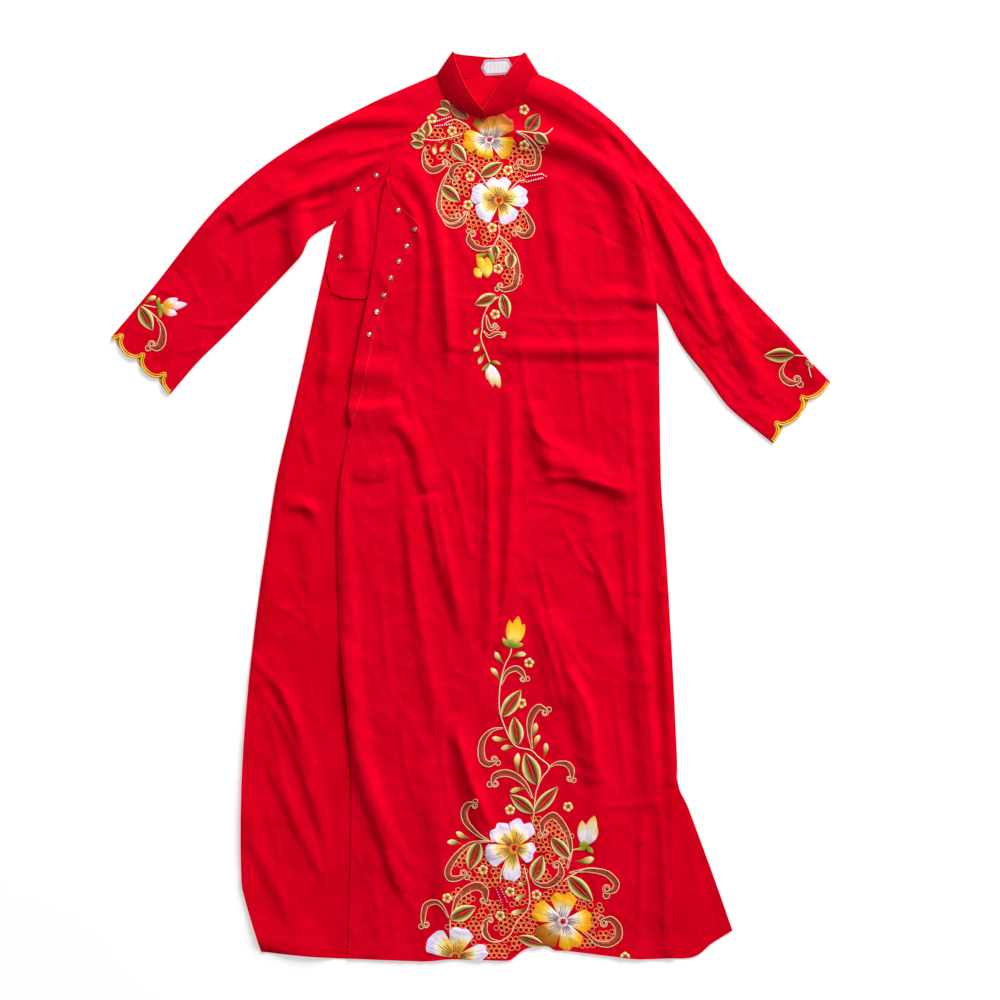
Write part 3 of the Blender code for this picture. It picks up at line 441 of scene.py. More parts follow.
# %% The back, the inner flap and the sleeves
BACK_FOLDS = on_plan((
    (268, 650, 296, 728, 340, 886, 22, 14, 5), (262, 745, 288, 806, 332, 894, 20, 14, 4),
    (244, 800, 262, 862, 300, 935, 24, 16, 4), (325, 300, 331, 345, 322, 412, 26, 16, 5),
    (316, 366, 335, 371, 354, 370, 28, 26, 5), (282, 502, 308, 505, 336, 556, 14, 14, 5),
    (289, 522, 306, 545, 320, 600, 30, 22, 3),
    # the side edge and the hem curl up a little
    (304, 385, 273, 530, 252, 690, 40, 10, 5), (252, 660, 238, 800, 246, 945, 40, 10, 6),
    (236, 932, 290, 953, 352, 958, 60, 10, 6),
))
BACK_CREASES = on_plan((
    (250, 655, 285, 700, 303, 748, 12, 9, 3.0), (262, 690, 291, 742, 320, 832, 10, 8, 2.6),
    (258, 690, 274, 742, 298, 842, 9, 7, 2.0), (318, 830, 327, 862, 338, 895, 9, 7, 1.6),
    (284, 508, 305, 508, 326, 516, 14, 9, 3.6), (322, 510, 330, 526, 334, 545, 8, 6, 1.6),
    (306, 428, 309, 446, 314, 466, 10, 9, 3.2), (326, 360, 336, 363, 344, 361, 9, 10, 2.4),
    (326, 402, 334, 404, 344, 402, 8, 9, 2.4), (336, 335, 330, 365, 320, 402, 10, 7, 2.2),
    (268, 600, 298, 618, 326, 640, 6, 5, 1.0), (276, 560, 300, 600, 326, 648, 6, 5, 0.9),
    (256, 740, 263, 800, 282, 862, 8, 6, 1.2), (300, 700, 320, 722, 334, 745, 6, 5, 1.1),
    (300, 560, 310, 600, 316, 640, 7, 6, 1.0), (276, 860, 292, 890, 300, 925, 8, 7, 1.2),
    (682, 800, 690, 850, 704, 905, 8, 7, 1.4), (690, 790, 712, 860, 724, 915, 7, 6, 1.0),
))
NECK_FOLDS = ((-30, 1250, 4, 1243, 46, 1247, 34, 8, 5), (-18, 1268, 12, 1262, 44, 1268, 12, 8, 1.5))
# ellipses behind the cutwork: x, y, half width, half height
BEHIND_CUTWORK = ((20, 1120, 100, 165), (80, 100, 150, 115))
UNDERLAP_FOLDS = (
    (-172, 1122, -170, 1062, -172, 1000, 22, 18, 9), (-154, 1118, -142, 1070, -138, 1000, 14, 12, 3),
    (-196, 1010, -176, 1000, -150, 1012, 10, 8, 1.2),
)
RIGHT_SLEEVE_FOLDS = on_plan((
    (232, 226, 306, 192, 392, 158, 30, 17, 11), (297, 186, 300, 228, 303, 276, 20, 34, 16),
    (290, 142, 345, 122, 416, 120, 24, 15, 7), (284, 168, 330, 154, 388, 146, 18, 12, 4),
    (176, 268, 226, 212, 290, 172, 14, 24, 5), (336, 206, 338, 190, 352, 172, 16, 14, 6),
))
RIGHT_SLEEVE_CREASES = on_plan((
    (228, 234, 300, 194, 386, 158, 8, 8, 2.4), (255, 204, 302, 170, 342, 146, 12, 10, 1.8),
    (302, 173, 352, 155, 414, 138, 8, 8, 1.8), (294, 210, 316, 206, 334, 201, 9, 8, 2.0),
    (192, 323, 220, 326, 238, 318, 6, 6, 1.2), (246, 230, 249, 242, 250, 258, 5, 4, 1.0),
    (172, 262, 186, 275, 200, 300, 8, 7, 0.9), (212, 252, 226, 262, 234, 282, 8, 7, 0.9),
    (178, 352, 196, 350, 206, 342, 6, 5, 1.0), (330, 118, 360, 106, 400, 97, 10, 8, 1.4),
    (262, 262, 276, 258, 286, 250, 7, 6, 0.8), (150, 288, 168, 292, 184, 304, 7, 6, 0.7),
))
LEFT_SLEEVE_FOLDS = SHOULDER_FOLDS + on_plan((
    (644, 176, 678, 252, 718, 345, 16, 24, 9), (700, 262, 730, 325, 766, 395, 22, 22, 9),
    (764, 322, 798, 342, 832, 374, 8, 52, 9), (694, 205, 710, 245, 724, 292, 12, 26, 4),
))
LEFT_SLEEVE_CREASES = on_plan((
    (556, 96, 606, 128, 640, 170, 10, 9, 2.0), (646, 196, 668, 244, 690, 300, 8, 7, 2.2),
    (652, 190, 700, 250, 716, 300, 12, 9, 1.8), (668, 262, 690, 312, 716, 345, 8, 6, 1.8),
    (720, 300, 742, 330, 768, 352, 10, 8, 1.4), (700, 350, 722, 378, 744, 402, 9, 7, 1.2),
    (676, 318, 700, 366, 730, 402, 9, 7, 1.2), (744, 380, 762, 396, 776, 410, 7, 6, 0.9),
    (716, 318, 730, 352, 748, 380, 7, 6, 1.2), (592, 92, 620, 112, 650, 146, 9, 8, 1.2),
))


def back_height(places):
    """The back lies flat on the table but for the part that shows beside the front."""
    covered = distance_to_line(places, smooth_line(FRONT_SLIT + OPENING_FOLD, 20))[0]
    right_side = places[:, 0] < -170
    left_side = (places[:, 0] > 285) & (places[:, 1] < 290)
    shows = smooth_step(covered, 16, 44) * right_side + smooth_step(places[:, 0], 300, 322) * left_side
    height = folds_at(places, BACK_FOLDS) + 1.2 * folds_at(places, BACK_CREASES)
    height += rumpled(places, -8, 31, 0.9)
    hem = hem_rise(places, BACK_RIGHT_SIDE, 9) + hem_rise(places, BACK_HEM[:2], 24)
    hem += hem_rise(places, BACK_LEFT_SIDE[:4], 12) + hem_rise(places, BACK_HEM[-3:], 12)
    flat = 0.12 * (1 + noise_at(places, 50, 90, 0, 33))
    level = BACK_LEVEL + flat * (1 - shows) + shows * np.maximum(height, -0.1) + np.maximum(hem, 0) * shows
    # behind the cutwork the two layers lie close together, so the back follows the front's folds
    follows = np.zeros(len(places))
    for x, y, half_width, half_height in BEHIND_CUTWORK:
        reach = np.hypot((places[:, 0] - x) / half_width, (places[:, 1] - y) / half_height)
        follows = np.maximum(follows, 1 - smooth_step(reach, 0.8, 1.15))
    level += folds_at(places, NECK_FOLDS)
    return level + follows * np.maximum(front_height(places) - CLOTH - 0.7 - level, 0)


def underlap_height(places):
    """The inner flap lies on the back, pulled into a few soft folds."""
    low = folds_at(places, UNDERLAP_FOLDS) + rumpled(places, 8, 41, 1.1)
    hem = hem_rise(places, UNDERLAP_HEM, 9)
    return UNDERLAP_LEVEL + np.maximum(low, -0.3) + hem


# %% [markdown]
# ## Crepe
# The cloth is polyester crepe georgette: thin, matt, woven from hard-twisted yarns that give it
# a grainy, slightly wrinkled skin. Its right side has a soft glow at grazing angles, and its
# wrong side is duller, though where the cloth is turned back it is painted lighter. A node material
# suits it, because the grain then stays the same size wherever the cloth bends.

# %% Colours and nodes


def linear(hex_colour):
    """An sRGB hex colour as the linear colour that shaders use."""
    parts = [int(hex_colour[i:i + 2], 16) / 255 for i in (1, 3, 5)]
    return (*[c / 12.92 if c < 0.04045 else ((c + 0.055) / 1.055) ** 2.4 for c in parts], 1)


def connect(material, node, links):
    """Feed a node's sockets from the outputs of others."""
    for socket, source in links.items():
        material.node_tree.links.new(source, node.inputs[socket])


def add_node(material, kind, settings=None, links=None):
    """Add a node; settings fill its sockets, colour stops or properties, links feed its sockets."""
    node = material.node_tree.nodes.new("ShaderNode" + kind)
    for name, value in (settings or {}).items():
        if name == "stops":  # positions and hex colours of a colour ramp
            stops = node.color_ramp.elements
            while len(stops) < len(value):
                stops.new(0.5)
            for stop, (position, hex_colour) in zip(stops, value):
                stop.position, stop.color = position, linear(hex_colour)
        elif isinstance(name, int) or name in node.inputs:
            node.inputs[name].default_value = value
        else:
            setattr(node, name, value)
    connect(material, node, links or {})
    return node


def new_material(name, settings):
    """A material with one shader and its fixed settings; returns it and the shader."""
    material = bpy.data.materials.new(name)
    material.use_nodes = True
    shader = material.node_tree.nodes["Principled BSDF"]
    for socket, value in settings.items():
        shader.inputs[socket].default_value = value
    return material, shader


# %% Woven crepe
# Hard-twisted yarns 0.35 mm apart are too fine to show at this size, so the weave is drawn
# 1.1 mm apart and the grain of the twist 1.6 mm wide.
YARN_DRAWN = 1.1
GRAIN_DRAWN = 1.6
CRINKLE = 13.0  # the crinkles of washing run down the cloth, about 13 mm apart


def woven_crepe(name, deep, bright, roughness, grain_depth, glow):
    """Crepe: uneven dye in soft clouds, a grainy weave, and a low sheen from loose fibre ends."""
    material, shader = new_material(name, {
        "Roughness": roughness, "IOR": 1.5, "Specular IOR Level": 0.05,
        "Specular Tint": linear("#ff1038"), "Sheen Weight": glow,
        "Sheen Roughness": 0.35, "Sheen Tint": linear("#ff1830"), "Subsurface Weight": 0.2,
        "Subsurface Radius": (1.0, 0.08, 0.08), "Subsurface Scale": 0.003,
    })
    place = add_node(material, "TexCoord").outputs["Object"]
    clouds = add_node(material, "TexNoise", {"Scale": 16.0, "Detail": 3.0, "Roughness": 0.6},
                      {"Vector": place})
    grain = add_node(material, "TexNoise", {"Scale": 1000 / GRAIN_DRAWN, "Detail": 2.0}, {"Vector": place})
    across, along = (add_node(material, "TexWave", {
        "Scale": 1000 / YARN_DRAWN / 20, "Distortion": 1.6, "Detail": 1.0, "bands_direction": way,
    }, {"Vector": place}).outputs["Fac"] for way in "XY")
    weave = add_node(material, "Math", {"operation": "MULTIPLY"}, {0: across, 1: along})
    mottle = add_node(material, "Math", {"operation": "MULTIPLY_ADD", 1: 0.35}, {
        0: grain.outputs["Fac"], 2: clouds.outputs["Fac"]})
    dye = add_node(material, "ValToRGB", {"stops": ((0.35, deep), (0.95, bright))},
                   {"Fac": mottle.outputs[0]})
    relief = add_node(material, "Math", {"operation": "MULTIPLY_ADD", 1: 0.6}, {
        0: weave.outputs[0], 2: grain.outputs["Fac"]})
    fall = add_node(material, "Mapping", {"Scale": (1.0, 0.16, 1.0)}, {"Vector": place})
    crinkle = add_node(material, "TexNoise", {"Scale": 1000 / CRINKLE, "Detail": 3.0, "Distortion": 1.4},
                       {"Vector": fall.outputs[0]})
    crinkled = add_node(material, "Bump", {"Strength": 0.32, "Distance": 0.0016},
                        {"Height": crinkle.outputs["Fac"]})
    bump = add_node(material, "Bump", {"Strength": grain_depth, "Distance": 0.0005},
                    {"Height": relief.outputs[0], "Normal": crinkled.outputs["Normal"]})
    connect(material, shader, {"Base Color": dye.outputs["Color"], "Normal": bump.outputs["Normal"]})
    return material


# The turned-back edge is hemmed double. The flap's crepe is a lighter copy of the wrong side, as light
# as the right side: painted light. The edge crepe is lighter still, a painted highlight along the rolled
# edges, and the collar's interfacing leaves its crepe flatter and grainier, darkened as painted shade.
crepe = woven_crepe("red_crepe_right_side", "#cc0018", "#e60028", 0.62, 0.3, 0.06)
crepe_wrong = woven_crepe("red_crepe_wrong_side", "#c40016", "#dc0024", 0.75, 0.22, 0.03)
lit_turned_crepe = woven_crepe("red_crepe_turned_painted_light", "#cc001a", "#e6002a", 0.70, 0.25, 0.05)
highlight_crepe = woven_crepe("red_crepe_painted_highlight", "#d8101e", "#ff2036", 0.55, 0.2, 0.1)
shaded_collar_crepe = woven_crepe("red_crepe_collar_painted_shade", "#be0014", "#d40024", 0.58, 0.35, 0.05)
for cloth in (crepe, crepe_wrong, lit_turned_crepe, highlight_crepe, shaded_collar_crepe):
    print("crepe material:", cloth.name)

# %% [markdown]
# ## Cutting the cloth
# A panel is cut from its border: even rows of staggered points fill it, and a Delaunay
# triangulation joins them, which also leaves clean round holes for the cutwork. Triangles bend
# the same way in every direction, so folds at any slant come out smooth.

# %% Fill a border with cloth
CLOTH_STEP = 4.2


def within(places, border):
    """Which places lie inside a closed border."""
    odd = np.zeros(len(places), bool)
    x, y = places[:, 0], places[:, 1]
    for (ax, ay), (bx, by) in zip(border, np.roll(border, -1, axis=0)):
        if ay != by:
            odd ^= ((ay > y) != (by > y)) & (x < ax + (y - ay) * (bx - ax) / (by - ay))
    return odd


def clear_of(places, others, distance):
    """The places that keep at least that distance from the others."""
    tree = KDTree(len(others))
    for i, (x, y) in enumerate(others):
        tree.insert((x, y, 0), i)
    tree.balance()
    return places[[tree.find((x, y, 0))[2] > distance for x, y in places]]


def cut_sheet(border, step=CLOTH_STEP, holes=()):
    """Plan points and triangles of a panel; its border's points come first."""
    low, high = border.min(0), border.max(0)
    rows = np.arange(low[1], high[1], step * math.sqrt(3) / 2)
    grid = []
    for i, y in enumerate(rows):
        columns = np.arange(low[0] + 0.5 * step * (i % 2), high[0], step)
        grid.append(np.column_stack((columns, np.full(len(columns), y))))
    grid = np.vstack(grid)
    grid = clear_of(grid[within(grid, border)], np.vstack((border, *holes)), 0.55 * step)
    for hole in holes:
        reach = np.linalg.norm(hole[0] - hole.mean(0))
        grid = grid[np.hypot(*(grid - hole.mean(0)).T) > reach]
    plan = np.vstack((border, *holes, grid))
    edges, ring_of, start = [], np.full(len(plan), -1), 0
    for number, ring in enumerate((border, *holes)):
        stop = start + len(ring)
        edges += [(i, i + 1 if i + 1 < stop else start) for i in range(start, stop)]
        ring_of[start:stop] = number
        start = stop
    filled = delaunay_2d_cdt([Vector(p) for p in plan], edges, [], 1, 1e-5)
    assert len(filled[0]) == len(plan), "a panel's edges cross"
    faces = []
    for face in filled[2]:
        rings = {ring_of[i] for i in face}
        if len(rings) > 1 or rings <= {-1, 0}:
            faces.append(list(face))
    return plan, faces


# %% Sew points and faces into a piece


def grid_faces(rows, columns, start=0, round_across=False, round_along=False):
    """Four-sided faces between rows of points; a grid may close on itself either way."""
    faces = []
    for i in range(rows if round_along else rows - 1):
        here, after = start + i * columns, start + (i + 1) % rows * columns
        for j in range(columns if round_across else columns - 1):
            faces.append((here + j, here + (j + 1) % columns, after + (j + 1) % columns, after + j))
    return faces


def make_piece(name, points, faces, materials, top_face=None):
    """A smooth mesh piece on the frame that rides on the tunic. top_face is a face seen from above."""
    work = bmesh.new()
    verts = [work.verts.new(p) for p in on_frame(points)]
    made = [work.faces.new([verts[i] for i in face]) for face in faces]
    if top_face is not None:
        bmesh.ops.recalc_face_normals(work, faces=made)
        work.normal_update()
        if made[top_face].normal.z < 0:
            bmesh.ops.reverse_faces(work, faces=made)
    mesh = bpy.data.meshes.new(name)
    work.to_mesh(mesh)
    work.free()
    mesh.shade_smooth()
    for material in materials:
        mesh.materials.append(material)
    piece = bpy.data.objects.new(name, mesh)
    bpy.context.scene.collection.objects.link(piece)
    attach(piece, "root")
    return piece


def thicken(piece, wall, other_side=0, offset=0):
    """Give a single layer its thickness, with the wrong side's material inside and crisp edges."""
    shell = piece.modifiers.new("thickness", "SOLIDIFY")
    shell.thickness, shell.offset, shell.material_offset = wall * MM, offset, other_side
    solid = bpy.data.meshes.new_from_object(piece.evaluated_get(bpy.context.evaluated_depsgraph_get()))
    piece.modifiers.clear()
    piece.data = solid
    solid.set_sharp_from_angle(angle=math.radians(55))
    return piece


# %% [markdown]
# ## The stitcher's chart
# The embroidery is drawn on the chart before any cloth is cut, because the eyelets have to keep
# clear of it. Blossoms, leaves, drops, buds and scrolls are ordinary flower motifs, each set
# down by a few marks and then drawn by rule.

# %% Blossoms: eye, then petals with tip, half width, notch and thread; the old thread is gold in painted shade
BLOSSOMS = (
    ((489.5, 140), (
        (463.5, 141.5, 11.5, 0.03, "gold"), (483, 159, 9.5, 0.09, "gold"), (511.5, 151, 12.5, 0.04, "gold"),
        (510, 118.5, 11.5, 0.03, "old"), (484, 115.5, 13, 0.12, "old"))),
    ((499, 200.5), (
        (498, 177.5, 12.5, 0.08, "white"), (527.5, 195, 11, 0.04, "white"), (512, 222, 11, 0.05, "white"),
        (478.5, 217, 11.5, 0.04, "white"), (471.5, 191.5, 11, 0.04, "white"))),
    ((514.5, 848), (
        (494.5, 826.5, 11.5, 0.05, "white"), (525, 821, 13.5, 0.09, "white"),
        (534.5, 854, 10.5, 0.04, "white"), (511, 881.5, 9.5, 0.04, "white"),
        (486, 857.5, 12.5, 0.03, "white"))),
    ((563.2, 921.5), (
        (533, 908, 11.5, 0.07, "gold"), (564, 892, 13.5, 0.10, "gold"), (592, 921, 11.5, 0.03, "gold"),
        (574, 949, 12.5, 0.05, "gold"), (540, 942, 13.5, 0.04, "old"))),
    ((455, 957), (
        (429.5, 937, 14, 0.04, "white"), (463, 927.5, 13, 0.07, "white"), (487.5, 951, 8.5, 0.03, "white"))),
)

# %% Small blossoms, leaves with their width and whether they lie in shade, and drops
SMALL_BLOSSOMS = (
    (524, 110), (452, 131), (524, 146), (508, 170.5), (470, 177), (468, 205), (492, 228), (498, 269),
    (495, 314.5), (529, 663), (521.5, 703.5), (510, 810), (568, 807), (483, 870), (447, 898), (510, 892),
    (536.5, 895), (500, 916), (432, 119),
)
LEAVES = (
    (450, 106, 469, 119, 9, 1), (450, 108, 440, 101, 7, 1), (450, 113, 435, 111, 6.5, 0),
    (426, 137, 427, 121, 9, 0), (423, 137, 419, 128, 7, 0), (425, 140, 411, 134, 8, 0),
    (424, 145, 410, 143, 8, 0), (452, 144, 466, 162, 10, 0), (480.5, 176, 503, 163, 10, 0),
    (441, 186, 460, 202, 10, 0), (527, 132, 539, 114, 12, 1), (534, 134, 548, 145, 8, 0),
    (494, 244.5, 496, 260, 8, 0), (511.5, 253, 509.5, 269.5, 10, 0), (496, 295.5, 475, 305, 9.5, 0),
    (502, 294, 508, 319, 9, 0), (502, 717, 521, 690, 11, 0), (518, 745, 514, 717, 11.5, 0),
    (537, 785, 525, 753, 14, 0), (534, 813, 510, 795, 10, 0), (534, 813, 558, 787, 9, 0),
    (479, 842, 469, 870.5, 12, 0), (450, 919, 476, 907, 12, 0), (533, 881, 542.5, 855.5, 12, 0),
    (551, 838, 571, 860, 10, 0), (567.5, 876, 593, 902, 12, 0), (518, 937, 545, 946, 8, 0),
    (140, 307, 152.5, 330.5, 11, 0), (794, 355, 764, 356, 11, 0), (805.8, 360.4, 812, 368.4, 3.6, 0),
)
DROPS = (
    (437, 142, 434, 155, 5), (448, 140, 440, 152, 5), (481, 327, 474, 334.5, 4),
    (481, 341, 474, 352, 4.5), (486.5, 353, 478.5, 364, 4.5), (505, 665, 495, 652, 5),
    (500, 683, 491, 668, 5), (510, 658, 526, 654, 5), (531, 739, 536, 723, 5), (534, 750, 539.5, 735, 5),
    (543, 759, 546, 743, 5), (510, 739, 492, 738, 5), (516, 747, 501, 749, 5), (519, 777, 518, 753, 6),
    (528, 789, 510, 792, 5), (471, 839, 456, 832, 5.5), (463, 845, 447, 842, 5.5),
    (527.5, 884, 518, 884, 4.5), (528, 896, 515, 900, 5), (527, 907, 511, 914, 5.5),
    (574, 861, 594, 858.5, 7), (144, 304.5, 156, 296.5, 5), (470, 128, 484, 138, 3),
)

# Rows of beads: first and last bead, and how many
BEAD_ROWS = {
    "white_beads": ((435, 122, 450.5, 117, 8), (435, 126.3, 451.3, 124.5, 8), (525.8, 177, 541.7, 174.2, 8),
                    (526.4, 182.2, 542.4, 178.3, 8), (543.5, 175.2, 545.8, 176.8, 2)),
    "lilac_beads": ((496.5, 890, 502.5, 905, 7), (500, 887, 507, 902, 7)),
}

# %% Scrolls: marks from the root along the outer line, band width, side of the band, curl's radius
SCROLLS = (
    (((425, 147), (422, 156), (423, 166), (429.5, 173), (437, 173), (443, 169), (447, 165)), 6.5, 1, 2.8),
    (((516, 132), (527, 137), (537, 147), (541, 159), (537, 170), (527, 171), (518, 166.5)), 6, -1, 3.6),
    (((467, 164), (458, 163), (450, 168), (449, 176), (454, 181)), 5.5, 1, 3),
    (((448, 172), (442, 182), (438, 195), (437, 208), (442, 218), (451, 223), (459, 220)), 5, 1, 3.4),
    (((442, 219), (447, 226), (456, 228), (464, 223), (467, 214)), 5, 1, 2),
    (((521, 207), (529.5, 216.5), (534.6, 228), (530.5, 237), (522, 238), (516, 233)), 6.5, -1, 3.4),
    (((495, 246), (484, 251), (473, 249), (466.5, 241), (469, 233)), 6.5, -1, 3.2),
    (((498.6, 235), (509, 244.5), (516, 254), (519.7, 268), (519, 281), (515, 289), (505, 292),
      (498.6, 289)), 6, -1, 3),
    (((486, 315), (486.6, 325), (490, 331), (496, 328)), 4, 1, 2.4),
    (((483, 331), (489, 338), (497.5, 334.5), (503, 335.6)), 3.5, 1, 1.8),
    (((501, 685), (505, 672), (515, 666), (523, 670), (526, 678)), 5.5, -1, 3),
    (((532, 750), (528, 736), (527, 721), (532, 709), (539.5, 704.5), (547, 709.5)), 6.5, -1, 3.4),
    (((503, 728), (492, 729), (482, 737), (478, 749), (480, 762), (488.5, 767), (496, 763)), 6.5, 1, 3.4),
    (((549, 767), (557, 762), (568, 762), (574, 769), (573, 779)), 5.5, -1, 3),
    (((533, 799), (527, 784), (517, 774), (505, 770), (493, 774), (491, 783)), 6.5, 1, 3.6),
    (((489, 841), (476, 835), (464, 824), (461, 812), (466, 803), (474, 802)), 6, -1, 3),
    (((489.6, 841), (479, 841), (467, 844), (453, 856), (445, 870), (448, 880), (457.5, 881), (465, 877)),
      6, 1, 3.6),
    (((451, 919), (454, 901), (460, 891), (470, 884), (480, 883), (488, 890), (487, 901)), 8, -1, 3.4),
    (((449, 918), (443, 905), (435, 900), (424, 904), (421, 916), (422, 925)), 5, 1, 3.4),
    (((567.5, 870), (572, 852), (571, 837), (564, 822), (555, 813), (547, 815), (540, 823), (541, 833)),
      6.5, 1, 3.6),
    (((531, 876), (535, 884), (546, 888), (557, 884), (564, 874), (561, 864)), 6.5, 1, 4),
    (((568.6, 873), (585, 869), (600, 869), (611, 873), (619, 883), (616, 892), (608, 894)), 6, -1, 4.4),
    (((578, 929), (587, 936), (596, 945), (610, 947), (621, 939), (621, 926), (612, 917), (603, 919)), 7,
      1, 4),
    (((500, 942), (489, 941), (482, 932), (483, 922), (489, 918)), 5.5, -1, 2.6),
    (((157, 318), (163, 325), (166, 335), (164, 346), (157, 351), (150, 348)), 7.5, -1, 3.6),
    (((785, 363), (780, 370), (780, 377), (784, 383), (791, 386), (798, 384)), 6, 1, 4),
)


CURL_POINTS = 23


def scroll_lines(marks, width, side, curl):
    """A scroll's outer and inner line: a crescent band that swells, then winds into its curl."""
    line = smooth_line(chart(marks), 1.6)
    heading = sideways(line[-4:])[-1]
    radius = 1.25 * curl * CHART_SQUARE
    middle = line[-1] + side * radius * heading
    start = math.atan2(*(line[-1] - middle)[::-1])
    share = np.linspace(0, 1, CURL_POINTS + 1)[1:]
    turned = start + side * share * math.radians(330)
    spiral = round_points(middle, (radius * (1 - 0.66 * share))[:, None], turned)
    outer = np.vstack((line, spiral))
    swell = np.sin(np.pi * (0.03 + 0.82 * np.linspace(0, 1, len(line))) ** 1.25) ** 0.8
    band = np.concatenate((swell * width, np.linspace(swell[-1] * width, 0.2 * width, CURL_POINTS)))
    reach = np.concatenate((np.full(len(line), width), 0.5 * curl * (1 - 0.5 * share)))
    reach[len(line) - 8:len(line)] = np.linspace(width, 0.55 * curl, 8)
    return outer, outer + sideways(outer) * (side * CHART_SQUARE * np.minimum(band, reach))[:, None]


scroll_pairs = [scroll_lines(*scroll) for scroll in SCROLLS]
print("blossoms:", len(BLOSSOMS), "leaves:", len(LEAVES), "scrolls:", len(SCROLLS))

# %% [markdown]
# ## Cutwork eyelets
# Eyelets are small holes cut in the cloth, each with a ring of stitches round it. They are
# packed in fields between the embroidered motifs. Staggered rows inside ellipses place them
# close together, as a stitcher does, and the motifs stay whole.

# %% Place the eyelets
EYELET_PITCH, EYELET_RADIUS, EYELET_EDGE = 7.7, 3.05, 6.3
EYELET_FIELDS = (
    (-38, 1204, 26, 12, 0), (-16, 1180, 16, 9, -35), (6, 1160, 13, 10, -20), (28, 1161, 14, 7, 10),
    (55, 1172, 14, 12, 40), (81, 1172, 16, 13, 0), (-64, 1166, 7, 13, 0), (-36, 1172, 13, 12, 0),
    (-14, 1146, 12, 10, 0), (17, 1135, 6, 6, 0), (39, 1138, 9, 7, 0), (61, 1140, 13, 9, 0),
    (-9, 1119, 19, 13, -20), (-35, 1131, 6, 6, 0), (-33, 1092, 14, 16, 0), (7, 1076, 17, 12, -10),
    (23, 1054, 9, 13, -20), (14, 1041, 9, 6, 0), (58, 1067, 20, 13, 15), (46, 1035, 9, 13, 20),
    (42, 1018, 7, 12, 0), (55, 992, 12, 12, 0), (-14, 152, 17, 9, 47), (22, 149, 7, 14, -20),
    (26, 123, 14, 16, 0), (3, 125, 9, 9, 0), (-12, 90, 13, 12, 30), (71, 125, 6, 12, 0),
    (55, 109, 12, 9, 0), (67, 99, 10, 9, 0), (65, 83, 10, 6, 10), (33, 77, 14, 7, 0), (13, 72, 9, 7, 0),
    (6, 54, 9, 22, 0), (-20, 51, 13, 6, 0), (49, 52, 10, 13, -20), (36, 14, 19, 9, 0),
    (61, 25, 16, 10, 10), (93, 200, 6, 10, 0), (125, 187, 17, 10, -40), (100, 168, 14, 13, 0),
    (109, 151, 7, 10, 0), (135, 144, 6, 6, 0), (103, 122, 9, 10, 0), (130, 106, 12, 7, 0),
    (145, 96, 17, 7, -25), (165, 84, 12, 10, -30), (177, 59, 7, 22, -12), (190, 33, 14, 9, 0),
    (168, 22, 9, 9, 0), (107, 96, 6, 6, 0), (84, 71, 9, 17, -20), (75, 51, 14, 12, 0), (90, 39, 9, 6, 0),
)
# Motifs that stay whole: round ones as x, y and radius, long ones as x, y of two ends and half width
KEPT_SPOTS = (
    (26, 1195, 32), (132, 58, 39), (-25, 9, 39), (75, 1234, 7), (-30, 1204, 7), (75, 1180, 7),
    (54, 1146, 7), (-3, 1137, 7), (-6, 1096, 7), (29, 1063, 7), (38, 1003, 7), (16, 133, 7), (55, 102, 7),
    (93, 96, 7), (41, 65, 7),
)
KEPT_SPANS = (
    (24, 1103, 54, 1102, 28), (60, 171, 60, 151, 32), (-29, 1186, -9, 1159, 6), (12, 1140, 44, 1157, 6),
    (-45, 1125, -19, 1103, 6), (-57, 1192, -57, 1169, 4), (-38, 1190, -48, 1173, 4),
    (93, 161, 86, 117, 7), (116, 175, 136, 149, 6), (-32, 62, 4, 77, 6), (9, 168, -3, 135, 7),
    (136, 125, 171, 88, 6), (70, 38, 96, 19, 4), (84, 94, 58, 86, 3), (80, 78, 57, 70, 3),
    (-52, 1213, -31, 1219, 6), (38, 101, 47, 84, 6),
)
KEPT_WHOLE = [(x, y, x, y, radius) for x, y, radius in KEPT_SPOTS] + list(KEPT_SPANS)


def eyelet_centres(border):
    """Fill each field with staggered rows, set slightly unevenly as by hand."""
    centres = np.empty((0, 2))
    closed = np.vstack((border, border[:1]))
    row_pitch = EYELET_PITCH * math.sqrt(3) / 2
    for x, y, half_width, half_height, turn in EYELET_FIELDS:
        rows, columns = int(half_height / row_pitch) + 1, int(half_width / EYELET_PITCH) + 1
        c, s = math.cos(math.radians(turn)), math.sin(math.radians(turn))
        for row in range(-rows, rows + 1):
            for column in range(-columns, columns + 1):
                u, v = (column + 0.5 * (row % 2)) * EYELET_PITCH, row * row_pitch
                if (u / half_width) ** 2 + (v / half_height) ** 2 > 1.1:
                    continue
                centre = np.array([[x + u * c - v * s + 0.4 * math.sin(x + 2 * v),
                                    y + u * s + v * c + 0.4 * math.sin(y + 3 * u)]])
                apart = not len(centres) or np.hypot(*(centres - centre).T).min() > 0.94 * EYELET_PITCH
                whole = all(distance_to_line(centre, np.array((kept[:2], kept[2:4]), float))[0][0]
                            > kept[4] + 0.4 * EYELET_RADIUS for kept in KEPT_WHOLE)
                inside = within(centre, border)[0] and distance_to_line(centre, closed)[0][0] > EYELET_EDGE
                if apart and whole and inside:
                    centres = np.vstack((centres, centre))
    return centres


